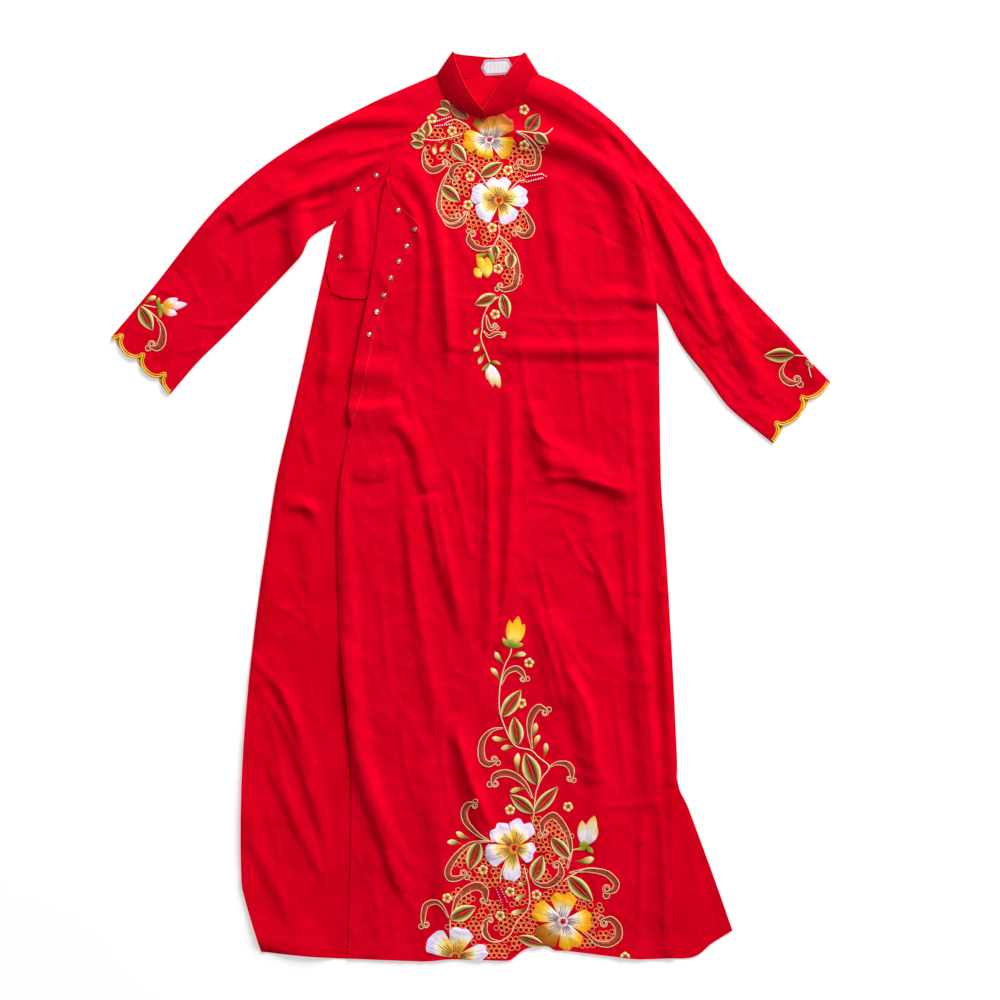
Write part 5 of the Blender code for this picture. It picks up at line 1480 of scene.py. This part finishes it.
def small_petal(eye, turn, root, reach, number):
    """One drop of stitches that points away from the eye, its turn in degrees."""
    way = np.array((math.cos(math.radians(turn)), math.sin(math.radians(turn))))
    return lobe(eye + root * way, eye + reach * way, 4.3, 0.62, number=number)


small_petals = [small_petal(eye, 72 * i + 31 * number, 0.9, 5.1, 5 * number + i)
                for number, eye in enumerate(SMALL_BLOSSOMS) for i in range(5)]
small_petals += [small_petal(HALF_BLOSSOM, 200 + 70 * i, 1, 5, i) for i in range(3)]
sew("small_blossoms", small_petals, cream_silk, wall=0.25)
print("small blossoms:", len(SMALL_BLOSSOMS), "and a half one at the hem")

# %% [markdown]
# ## Leaves and drops
# A leaf is two crescents of satin stitch, dark along the middle and light at the rim, with red
# cloth and a thin pink vein between them. A drop is one rounded stitch shape on a short stalk.

# %% Leaves and drops


def leaf_half(base, tip, width, side, number):
    """One crescent of a leaf, stitched from the slit out to the rim."""
    base, along, length, across = motif_axis(base, tip)
    u, v = np.linspace(0, 1, 18)[:, None], np.linspace(0, 1, 8)[None]
    slit = 0.045 * width * CHART_SQUARE * np.sin(np.pi * u) ** 0.8
    rim = 0.52 * width * CHART_SQUARE * np.sin(np.pi * u ** 0.85) ** 0.8
    bow = 0.05 * length * np.sin(np.pi * u) * (1 if number % 2 else -1) * side
    places = base + u[:, :, None] * along + (slit + (rim - slit) * v + bow)[:, :, None] * side * across
    rises = 0.7 + 0.75 * np.sin(np.pi * (0.12 + 0.76 * v)) * np.sin(np.pi * np.clip(u, 0.02, 0.98)) ** 0.5
    rises = rises + thread_noise(number, 18, 0.06)[:, None]
    return places, rises, 0.95 * v + 0.12 * (u - 0.5), u * length * 0.9 + 3 * v + 41 * number, False, False


halves, shaded_halves, veins = [], [], []
for number, (x, y, tip_x, tip_y, width, shaded) in enumerate(LEAVES):
    for side in (-1, 1):
        half = leaf_half((x, y), (tip_x, tip_y), width, side, 2 * number + (side > 0))
        (shaded_halves if shaded else halves).append(half)
    start, stop = chart((x, y)), chart((tip_x, tip_y))
    middle = start + (stop - start) * np.linspace(0.06, 0.9, 12)[:, None]
    veins.append(lifted(cord(middle, 0.4, number=number), 0.5))
drops = [lobe((x, y), (tip_x, tip_y), width, 0.72, 0.07 if n % 2 else -0.07, n)
         for n, (x, y, tip_x, tip_y, width) in enumerate(DROPS)]
# the pistils of two blossoms are drops of the same thread
drops += [lobe((499.5, 199), (508, 188), 5, 0.4, number=31),
          lobe((513, 852), (504, 866), 5.5, 0.4, number=32)]
sew("leaves", halves, leaf_silk, wall=0.25)
sew("leaves_in_shade", shaded_halves, shaded_leaf_silk, wall=0.25)
sew("leaf_veins", veins, vein_silk)
sew("drops", drops, drop_silk, wall=0.25)
print("leaves:", len(LEAVES), "drops:", len(drops))

# %% [markdown]
# ## Buds
# Closed buds stand at the ends of the vines: a few overlapping petals in a green cup with two
# or three pointed sepals.

# %% Buds: each petal's base, tip and width, then the cups' sepals
BUDS = (
    ("yellow_buds", bud_silk, 0, (
        ((487, 277), (477, 254), 9), ((487, 278), (487, 257), 11), ((481, 278), (474.5, 268), 8),
        ((511.5, 646), (509.5, 620), 9), ((513, 646), (518.5, 616), 11), ((514, 645), (524.5, 624), 9))),
    ("white_buds", white_bud_silk, 7, (
        ((489, 364), (493, 387), 8), ((490, 364), (500, 388), 9), ((490, 364), (487, 380), 6),
        ((583, 846), (582, 820.5), 10), ((586, 846), (594.5, 815.5), 12), ((587, 845), (597.5, 827), 9))),
    ("cuff_bud", tipped_bud_silk, 0, (
        ((161, 308), (187, 304), 8.5), ((161, 307), (178, 298.5), 8.5), ((161, 309), (177, 314.5), 8.5))),
)
BUD_SEPALS = (
    ((488, 253), (475.5, 256.5), 4), ((487, 252), (494, 264), 4), ((511.5, 648), (502.5, 638), 5),
    ((511.5, 648), (523.5, 644.5), 5), ((512, 649), (512, 638), 6), ((490, 362), (481.5, 370.5), 4),
    ((490, 362), (500.5, 364.5), 4), ((590, 844), (577, 850), 5), ((585, 847), (593, 853), 5),
    ((585, 850), (584, 840), 9), ((158, 307), (159, 297.5), 4), ((158, 307.5), (160.5, 318), 4),
    ((156, 307.5), (165, 307.5), 6),
)
for name, silk, first_number, bud_petals in BUDS:
    sew(name, [lobe(*bud_petal, 0.5, number=first_number + n, rise=1.2)
               for n, bud_petal in enumerate(bud_petals)], silk, wall=0.3)
cups = [lifted(lobe(*sepal, 0.55, 0.06, n + 3), 0.5) for n, sepal in enumerate(BUD_SEPALS)]
sew("bud_cups", cups, green_silk, wall=0.25)
print("bud petals:", sum(len(bud[3]) for bud in BUDS), "sepals:", len(cups))

# %% [markdown]
# ## Vines and scrolls
# Thin stems of peach thread join the motifs. A scroll is a crescent band: two outline cords,
# copper stitching between them, and a curled end with round lobes. Its marks run along the
# outer line; the inner line swings away from it by the band's width.

# %% Stems
STEMS = (
    ((421, 139), (436, 140.5), (449, 138), (463, 134)),
    ((516, 132), (525, 132.5), (534, 134), (545, 135), (553, 128)),
    ((468, 164), (477, 171), (486, 184)),
    ((444, 124), (456, 120), (470, 128)),
    ((498.5, 225), (499, 234), (494, 245), (488, 252)),
    ((498.6, 296.6), (489, 305), (483, 318), (482, 329), (481, 339), (485.6, 352), (490, 363)),
    ((525, 180), (518, 182), (511, 189), (506, 194)),
    ((504, 865), (501, 874), (500, 884)),
    ((511.5, 648), (510, 655), (505, 665), (501, 680), (499, 698), (500, 713), (505, 728), (510, 739),
      (517, 747), (531, 750.5), (538, 757), (549, 767), (542, 778), (537, 789), (535, 799), (534, 813),
      (532, 824)),
    ((524, 867), (529, 889), (528, 908), (516, 923), (510, 935), (499, 942), (489, 941), (482, 934),
      (484, 924)),
    ((450, 919), (450, 935), (450, 947), (454, 956)),
    ((568, 862), (572, 852), (574, 850), (580, 849)),
    ((563, 881), (585, 869), (600, 869)),
    ((478, 841), (489.6, 841), (494, 842)),
    ((143, 305), (156, 307.5)),
    ((794, 355.6), (805, 356.4)),
    ((808, 363), (809, 371), (811, 378)),
    ((141, 306), (150, 312), (158, 319)),
    ((793, 356), (788, 359), (784.5, 364)),
)
stems = [cord(smooth_line(chart(stem), 1.6), 0.85, number=n) for n, stem in enumerate(STEMS)]
sew("stems", stems, peach_silk)
print("stems:", len(stems))

# %% Scrolls
fills, outlines = [], []
for number, ((outer, inner), (marks, width, side, curl)) in enumerate(zip(scroll_pairs, SCROLLS)):
    v = np.linspace(0.02, 0.98, 6)
    places = outer[:, None] * (1 - v[None, :, None]) + inner[:, None] * v[None, :, None]
    along = np.arange(len(outer)) * 1.6
    rises = 0.6 + 0.25 * np.sin(np.pi * v)[None] + thread_noise(number, len(outer), 0.1)[:, None]
    fills.append((places, rises, 0.3 + 0.5 * v[None], along[:, None] + 17 * number, False, False))
    outlines.append(lifted(cord(outer, 0.6, number=number), 0.2))
    outlines.append(lifted(cord(inner, 0.52, number=number + 50), 0.2))
    # a round lobe stands off the band where it begins to curl
    root = len(outer) - CURL_POINTS
    off = -sideways(outer)[root] * side
    lobe_radius = 0.75 * curl * CHART_SQUARE
    middle = outer[root] + off * 0.55 * lobe_radius
    turned = math.atan2(off[1], off[0]) + np.radians(np.linspace(-125, 125, 15))
    bump = round_points(middle, lobe_radius, turned)
    places = middle * (1 - v[None, :, None]) + bump[:, None] * v[None, :, None]
    fills.append((places, 0.45 + 0 * places[..., 0], 0.3 + 0.5 * v[None], turned[:, None] * lobe_radius,
                  False, False))
    outlines.append(lifted(cord(bump, 0.5, number=number + 90), 0.2))
sew("scroll_filling", fills, copper_silk, wall=0.2)
sew("scroll_outlines", outlines, peach_silk)
print("scrolls:", len(SCROLLS))

# %% [markdown]
# ## Bead sprigs
# Three sprigs of small glass beads finish the embroidery, each in two slanting rows along a
# stem. A bead is a little ball, half sunk among the stitches.

# %% Bead sprigs
BEAD_RADIUS, BEAD_LIFT = 1.2, 0.8
BEAD_GLASS = {"white_beads": ("#e6dde6", "#ffffff"), "lilac_beads": ("#b85a8c", "#f0b6dc")}


def glass_beads(name, deep, bright):
    """Glazed glass beads: each a shade apart from the next, with a small clear highlight."""
    material, shader = new_material(name, {"Roughness": 0.2, "IOR": 1.5, "Coat Weight": 0.3})
    place = add_node(material, "TexCoord").outputs["Object"]
    tone = add_node(material, "TexNoise", {"Scale": 450.0, "Detail": 1.0}, {"Vector": place})
    shade = add_node(material, "ValToRGB", {"stops": ((0.35, deep), (0.6, bright))},
                     {"Fac": tone.outputs["Fac"]})
    connect(material, shader, {"Base Color": shade.outputs["Color"]})
    return material


def ball(centre, radius):
    """Points and faces of a small ball: six bands of eight sides."""
    turns = np.arange(8) * math.pi / 4
    points = [(0, 0, 1)]
    for tilt in np.radians((30, 60, 90, 120, 150)):
        ring = round_points(np.zeros(2), math.sin(tilt), turns)
        points += [(x, y, math.cos(tilt)) for x, y in ring]
    points.append((0, 0, -1))
    faces = [(0, 1 + i, 1 + (i + 1) % 8) for i in range(8)] + grid_faces(5, 8, 1, True)
    faces += [(41, 33 + (i + 1) % 8, 33 + i) for i in range(8)]
    return list(centre + radius * np.array(points)), faces


for name, rows in BEAD_ROWS.items():
    places = np.vstack([np.linspace(chart(row[:2]), chart(row[2:4]), row[4]) for row in rows])
    points, faces = [], []
    for place, height in zip(places, cloth_top(places)):
        bead_points, bead_faces = ball(np.append(place, height + BEAD_LIFT), BEAD_RADIUS)
        faces += [tuple(i + len(points) for i in face) for face in bead_faces]
        points += bead_points
    glass = glass_beads(name + "_glass", *BEAD_GLASS[name])
    make_piece(name, points, faces, (glass,), top_face=0)
    print(name + ":", len(places))

# %% [markdown]
# ## Scalloped cuff edging
# The cuffs are cut along a scallop and bound by a satin-stitch edge: two gold cords side by side
# with a groove between them. The shades follow the profile's heights, light on the cords and dark in
# the groove and at the outer rim: painted shade. One profile is carried along the cloth's own edge, on
# the upper layer and on the lower one, which shows past it.

# %% Cuff edging
EDGING_POINTS, EDGING_LENGTH = 110, 130
# distance from the cloth's edge, rise above the cloth, shade
# the shades follow the rises: crests light, the groove and the outer rim dark, a painted shade
EDGING = ((-5.2, 0.3, 0.6), (-4.7, 1.0, 1.0), (-3.9, 1.0, 0.9), (-3.5, 0.4, 0.05), (-2.7, 0.35, 0.0),
          (-2.3, 0.9, 0.8), (-1.1, 1.15, 1.0), (0.1, 0.8, 0.8), (0.5, 0.0, 0.2))


def edging(side, layer):
    """The edging's grid along one layer of a cuff."""
    edge = evenly(sleeve_plans[side][layer][0][0], np.linspace(0, 1, EDGING_POINTS))
    hand = toward_hand(side)
    square = sideways(edge)
    square *= np.sign(square @ hand)[:, None]
    out = 0.6 * square + 0.4 * hand
    out /= np.linalg.norm(out, axis=1)[:, None]
    offsets, rises, shades = np.array(EDGING).T
    places = edge[:, None] + offsets[None, :, None] * out[:, None]
    along = np.linspace(0, EDGING_LENGTH, EDGING_POINTS)[:, None]
    rises = rises[None] + thread_noise(7, EDGING_POINTS, 0.06)[:, None]
    return places, rises, shades[None] + 0 * along, along + 0.3 * offsets[None], False, False


sew("cuff_edging", [edging(side, "front") for side in SLEEVES], edge_silk, wall=0.3)
sew("cuff_edging_below", [edging(side, "back") for side in SLEEVES], edge_silk, wall=0.3,
    ground=lambda places: np.full(len(places), BACK_LEVEL + CLOTH / 2))

# %% [markdown]
# ## Woven label
# A small damask label with pointed ends is sewn inside the collar's back. It is left bare: a
# ribbed off-white field inside a mauve border line. The border follows the label's outline, so
# each point carries its distance from the edge, and the material draws the line from it.

# %% Woven label
LABEL_CENTRE, LABEL_TILT = np.array((36.0, 1296.3)), math.radians(2.8)
LABEL_HALF_LENGTH, LABEL_HALF_WIDTH, LABEL_POINT, LABEL_LEVEL = 23.0, 11.3, 6.0, 2.9
LABEL_ROWS, LABEL_COLUMNS = 59, 29

# polyester damask: a smooth field with fine ribs, a little glossy and flecked by its yarns
damask, damask_shader = new_material("ribbed_damask_label", {
    "Roughness": 0.6, "IOR": 1.5, "Specular IOR Level": 0.3, "Sheen Weight": 0.2})
to_edge = add_node(damask, "Attribute", {"attribute_name": "shade"}).outputs["Fac"]
label_place = add_node(damask, "TexCoord").outputs["Object"]
border_line = add_node(damask, "ValToRGB", {"stops": (
    (0.06, "#e8c6d6"), (0.14, "#9d8aa6"), (0.22, "#a293ae"), (0.3, "#ece4ee"), (1.0, "#f2edf4"),
)}, {"Fac": to_edge})
# label ribs 0.3 mm apart are drawn 0.9 mm apart
ribs = add_node(damask, "TexWave", {"Scale": 55.0, "Distortion": 0.6, "bands_direction": "X"},
                {"Vector": label_place})
flecks = add_node(damask, "TexNoise", {"Scale": 700.0, "Detail": 2.0}, {"Vector": label_place})
tint = add_node(damask, "Mix", {"data_type": "RGBA", "blend_type": "MULTIPLY", 0: 0.35},
                {6: border_line.outputs["Color"], 7: flecks.outputs["Color"]})
rib_bump = add_node(damask, "Bump", {"Strength": 0.4, "Distance": 0.0004}, {"Height": ribs.outputs["Fac"]})
connect(damask, damask_shader, {"Base Color": tint.outputs[2], "Normal": rib_bump.outputs["Normal"]})

u = np.linspace(-LABEL_HALF_LENGTH, LABEL_HALF_LENGTH, LABEL_ROWS)[:, None]
v = np.linspace(-1, 1, LABEL_COLUMNS)[None]
slant = np.clip((LABEL_HALF_LENGTH - np.abs(u)) / LABEL_POINT, 0.02, 1)
x, y = u + 0 * v, v * LABEL_HALF_WIDTH * slant
from_point = LABEL_HALF_LENGTH - LABEL_POINT * np.abs(y) / LABEL_HALF_WIDTH - np.abs(x)
from_edge = np.minimum(LABEL_HALF_WIDTH - np.abs(y), 0.88 * from_point)
c, s = math.cos(LABEL_TILT), math.sin(LABEL_TILT)
turned = LABEL_CENTRE + np.stack((x * c - y * s, x * s + y * c), -1)
height = LABEL_LEVEL + 0.25 * np.sin(x * 0.19 + 0.5) + 0.2 * np.sin(y * 0.3) - 0.2 * (from_edge < 0.8)
label_faces = grid_faces(LABEL_ROWS, LABEL_COLUMNS)
label = make_piece("woven_label", np.column_stack((turned.reshape(-1, 2), height.ravel())), label_faces,
                   (damask,), top_face=(len(label_faces) + LABEL_COLUMNS) // 2)
mark_points(label, "shade", from_edge / LABEL_HALF_WIDTH)
thicken(label, 0.5)
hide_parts("neck_label")
print("label faces:", len(label_faces))

# %% [markdown]
# ## Press studs
# Each press stud is stamped and turned sheet steel, plated: a ball in the middle of a dished
# plate with a rolled rim. Four bundles of red thread hold it, crossing the rim at its four
# holes. A stud tilts with the cloth that it is sewn to.

# %% Plated steel, and sewing thread
# tumbled bright after plating: sharp lights and dark reflections, softer where it is worn
plated_steel, steel_shader = new_material("plated_steel", {"Metallic": 1.0})
steel_place = add_node(plated_steel, "TexCoord").outputs["Object"]
wear = add_node(plated_steel, "TexNoise", {"Scale": 900.0, "Detail": 3.0}, {"Vector": steel_place})
plate_tone = add_node(plated_steel, "ValToRGB", {"stops": ((0, "#c9c4be"), (1, "#f4f1ea"))},
                      {"Fac": wear.outputs["Fac"]}).outputs["Color"]
polish = add_node(plated_steel, "MapRange", {"To Min": 0.18, "To Max": 0.38}, {"Value": wear.outputs["Fac"]})
connect(plated_steel, steel_shader, {"Base Color": plate_tone, "Roughness": polish.outputs["Result"]})
red_thread = silk_thread("red_sewing_thread", ((0, "#6e0008"), (0.5, "#a80014"), (1, "#d00a24")), 0.6, 0.2)
# the stitches' thread is darker than the cloth, a painted shade of the dimples they pull into it
shadow_thread = silk_thread("red_thread_in_painted_shade", ((0, "#5c0006"), (0.6, "#8c0010"), (1, "#b80018")), 0.7, 0.2)

# %% Studs
# radius and height, from the ball's side down to the dish and out over the rolled rim
STUD_PROFILE = ((0.9, 1.85), (1.15, 1.35), (1.2, 0.9), (2.2, 0.8), (2.6, 1.0), (3.1, 1.0), (3.5, 0.6),
                (3.55, 0.15), (3.3, 0.0))
STUD_SIDES = 20
STUD_TURN = (0.35, 0.9, 0.1, 0.6, 0.3, 1.1, 0.5, 0.2, 0.7, 0.4, 0.85)
# a thread's way from the middle over the rim and into the cloth, and its rise on that way
THREAD_REACH = np.array((1.9, 2.4, 3.1, 3.7, 4.4))
THREAD_RISE = np.array((0.5, 0.9, 0.95, 0.7, -0.2))


def garment_top(places):
    """The upper face of the uppermost cloth, the flap and the inner flap among them."""
    height = cloth_top(places)
    on_flap = within(places, flap_border)
    on_underlap = within(places, underlap_border) & ~within(places, front_border)
    height[on_underlap] = underlap_height(places[on_underlap]) + CLOTH / 2
    height[on_flap] = flap_height(places[on_flap]) + CLOTH / 2
    return height


stud_nodes = [f"stud_flap_{n}" for n in range(1, 9)] + ["stud_sleeve_1", "stud_sleeve_2", "stud_underlap_1"]
stud_turns = np.arange(STUD_SIDES) * 2 * math.pi / STUD_SIDES
stud_rings = [np.column_stack((round_points(np.zeros(2), radius, stud_turns), np.full(STUD_SIDES, height)))
              for radius, height in STUD_PROFILE]
stud_points = np.vstack(((0, 0, 1.9), *stud_rings))
last_ring = 1 + STUD_SIDES * (len(STUD_PROFILE) - 1)
stud_faces = [(0, 1 + i, 1 + (i + 1) % STUD_SIDES) for i in range(STUD_SIDES)]
stud_faces += grid_faces(len(STUD_PROFILE), STUD_SIDES, 1, True)
stud_faces.append(tuple(range(last_ring + STUD_SIDES - 1, last_ring - 1, -1)))
threads = []
for node, turn in zip(stud_nodes, STUD_TURN):
    low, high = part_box(node)
    place = np.array(((low.x + high.x) / 2, (low.y + high.y) / 2)) / MM + PLAN_MIDDLE[:2]
    around = garment_top(place + np.array(((0, 0), (3, 0), (-3, 0), (0, 3), (0, -3))))
    slope = np.array(((around[1] - around[2]) / 6, (around[3] - around[4]) / 6))
    points = stud_points.copy()
    points[:, 2] += points[:, :2] @ slope + around[0] + 0.1
    points[:, :2] += place
    stud = make_piece(node.replace("stud_", "press_stud_"), points, stud_faces, (plated_steel,),
                      top_face=0)
    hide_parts(node)
    for angle in turn + np.arange(4) * math.pi / 2:
        way = np.array((math.cos(angle), math.sin(angle)))
        for spread in (-0.55, 0, 0.55):
            across = spread * np.array((-way[1], way[0]))
            path = place + way * THREAD_REACH[:, None] + across
            threads.append(lifted(cord(path, 0.34, taper=False, number=len(threads)), THREAD_RISE[:, None]))
sew("stud_threads", threads, red_thread, ground=garment_top)
print("press studs:", len(stud_nodes), "threads:", len(threads))

# %% [markdown]
# ## Darts and hem stitches
# Machine stitches hold the hems: short dashes 3 mm apart, pulled a little into the cloth. Darts
# show as fine sunken lines.

# %% Stitch lines
STITCH, STITCH_GAP, STITCH_RADIUS = 2.2, 3.2, 0.26


def dashes(line):
    """Short stitches along a line on the plan."""
    length = lengths_along(line)[-1]
    count = int(length / STITCH_GAP)
    made = []
    for i in range(count):
        run = evenly(line, (np.linspace(0, STITCH, 3) + i * STITCH_GAP) / length)
        made.append(lifted(cord(run, STITCH_RADIUS, number=i), -0.06))
    return made


def beside(line, distance):
    """A line at that distance to the left of another."""
    path = smooth_line(line, 3)
    return path + sideways(path) * distance


front_stitches = [stitch for edge, distance in (
    (FRONT_SLIT, -11.5), (FRONT_HEM[-4:], -21.5), (FRONT_HEM[:3], -21.5), (FRONT_LEFT_SIDE[-5:], -9.5),
) for stitch in dashes(beside(edge, distance))]
sew("hem_stitches", front_stitches, shadow_thread)
flap_line = beside(FLAP_SIDE_EDGE[1:], -8.5)
sew("opening_stitches", dashes(flap_line[within(flap_line, flap_border)]), shadow_thread, ground=garment_top)
back_stitches = dashes(beside(BACK_HEM[:2], 23.5)) + dashes(beside(BACK_RIGHT_SIDE[3:], 8.5))
sew("back_stitches", back_stitches, shadow_thread, ground=lambda places: back_height(places) + CLOTH / 2)
sew("inner_flap_stitches", dashes(beside(UNDERLAP_HEM, 9)), shadow_thread, ground=garment_top)

# %% Darts
DARTS = (
    ((569, 219), (600, 235), (625, 250), (646, 255)), ((446, 235), (446.5, 300), (446, 360), (447, 415)),
    ((568, 264), (574, 320), (579, 380), (581, 422)),
)
# a dart is sewn inside; this line of darker thread on the outside is painted shade of its crease
darts = [lifted(cord(smooth_line(chart(dart), 4), 0.3, number=n), -0.15) for n, dart in enumerate(DARTS)]
sew("darts", darts, shadow_thread)
print("stitches:", len(front_stitches), "on the front")

# %% [markdown]
# ## Turned edges
# The opening's free edge is a narrow rolled hem, a soft round lip. A thin cord along the edge gives
# it, in a lighter copy of the crepe that paints a highlight along it.

# %% Rolled lip of the opening
lip_line = smooth_line(FLAP_RAGLAN_EDGE + FLAP_SIDE_EDGE[1:], 2.5)
# the lip's crepe is the lighter copy: a painted highlight
lip = lifted(cord(lip_line, 0.75), -0.3)
opening_lip = sew("opening_lip", [lip], highlight_crepe, ground=lambda places: flap_height(places) + CLOTH / 2)

# the collar's free edge is turned in and pressed into a fine ridge, drawn in the lighter crepe as a painted
# highlight
free_edge = collar_grid[::2, -1]


def collar_edge_height(places):
    """The height of the collar's free edge at its nearest point."""
    nearest = ((places[:, None] - free_edge[None, :, :2]) ** 2).sum(-1).argmin(1)
    return free_edge[nearest, 2] + COLLAR / 2


ridge = lifted(cord(free_edge[:, :2], 0.6), -0.35)
collar_ridge = sew("collar_ridge", [ridge], highlight_crepe, ground=collar_edge_height)
print("lip of the opening, mm:", round(lengths_along(lip_line)[-1]))

# %% [markdown]
# ## Table, light and camera
# The tunic lies on a pale table top. A large, low, soft light from the upper right brings its
# folds out, and an even fill from all sides keeps their shadows open. The camera stands over the
# tunic's middle and looks straight down.

# %% Table top
TABLE_WIDTH, TABLE_GAP = 14, 0.0004  # metres
# opal acrylic board, moulded and lit from below: matt, pale, with a soft glow that leaves no hard shadow
board, board_shader = new_material("lit_opal_board", {
    "Roughness": 0.7, "Specular IOR Level": 0.2, "Emission Color": linear("#ffffff"),
    "Emission Strength": 0.5})
board_place = add_node(board, "TexCoord").outputs["Object"]
board_tone = add_node(board, "TexNoise", {"Scale": 3.0, "Detail": 2.0}, {"Vector": board_place})
board_paint = add_node(board, "ValToRGB", {"stops": ((0, "#c6c6c6"), (1, "#cecece"))},
                       {"Fac": board_tone.outputs["Fac"]})
connect(board, board_shader, {"Base Color": board_paint.outputs["Color"]})
bpy.ops.mesh.primitive_plane_add(size=TABLE_WIDTH, location=(0, 0, -TABLE_GAP))
table_top = bpy.context.object
table_top.name = "table_top"
table_top.data.materials.append(board)
table_top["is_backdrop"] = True

# %% Lights
KEY_ELEVATION, KEY_AZIMUTH, KEY_DISTANCE = 34, 60, 7.0
KEY_WIDTH, KEY_POWER, FILL = 4.6, 750, 0.24
key = bpy.data.lights.new("window_light", "AREA")
key.shape, key.size, key.energy = "DISK", KEY_WIDTH, KEY_POWER
key_light = bpy.data.objects.new("window_light", key)
key_light.rotation_euler = (math.radians(90 - KEY_ELEVATION), 0, math.radians(KEY_AZIMUTH + 90))
raised, turned = math.radians(KEY_ELEVATION), math.radians(KEY_AZIMUTH)
reach = KEY_DISTANCE * math.cos(raised)
key_light.location = (reach * math.cos(turned), reach * math.sin(turned), KEY_DISTANCE * math.sin(raised))
bpy.context.scene.collection.objects.link(key_light)

world = bpy.data.worlds.new("room")
world.use_nodes = True
world.node_tree.nodes["Background"].inputs["Color"].default_value = linear("#ffffff")
world.node_tree.nodes["Background"].inputs["Strength"].default_value = FILL
bpy.context.scene.world = world
bpy.context.scene.view_settings.view_transform = "Standard"

# %% Camera
CAMERA_HEIGHT, VIEW_WIDTH, VIEW_MIDDLE, SENSOR = 5.0, 1.45, (0.0436, 0.0097), 36
lens = bpy.data.cameras.new("camera")
lens.sensor_width, lens.lens = SENSOR, SENSOR * (CAMERA_HEIGHT - 0.005) / VIEW_WIDTH
camera = bpy.data.objects.new("camera", lens)
camera.location = (*VIEW_MIDDLE, CAMERA_HEIGHT)
bpy.context.scene.collection.objects.link(camera)
bpy.context.scene.camera = camera

# %% The size of the dressed tunic
low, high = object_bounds()
print("dressed box in mm:", [round(1000 * (b - a), 1) for a, b in zip(low, high)])
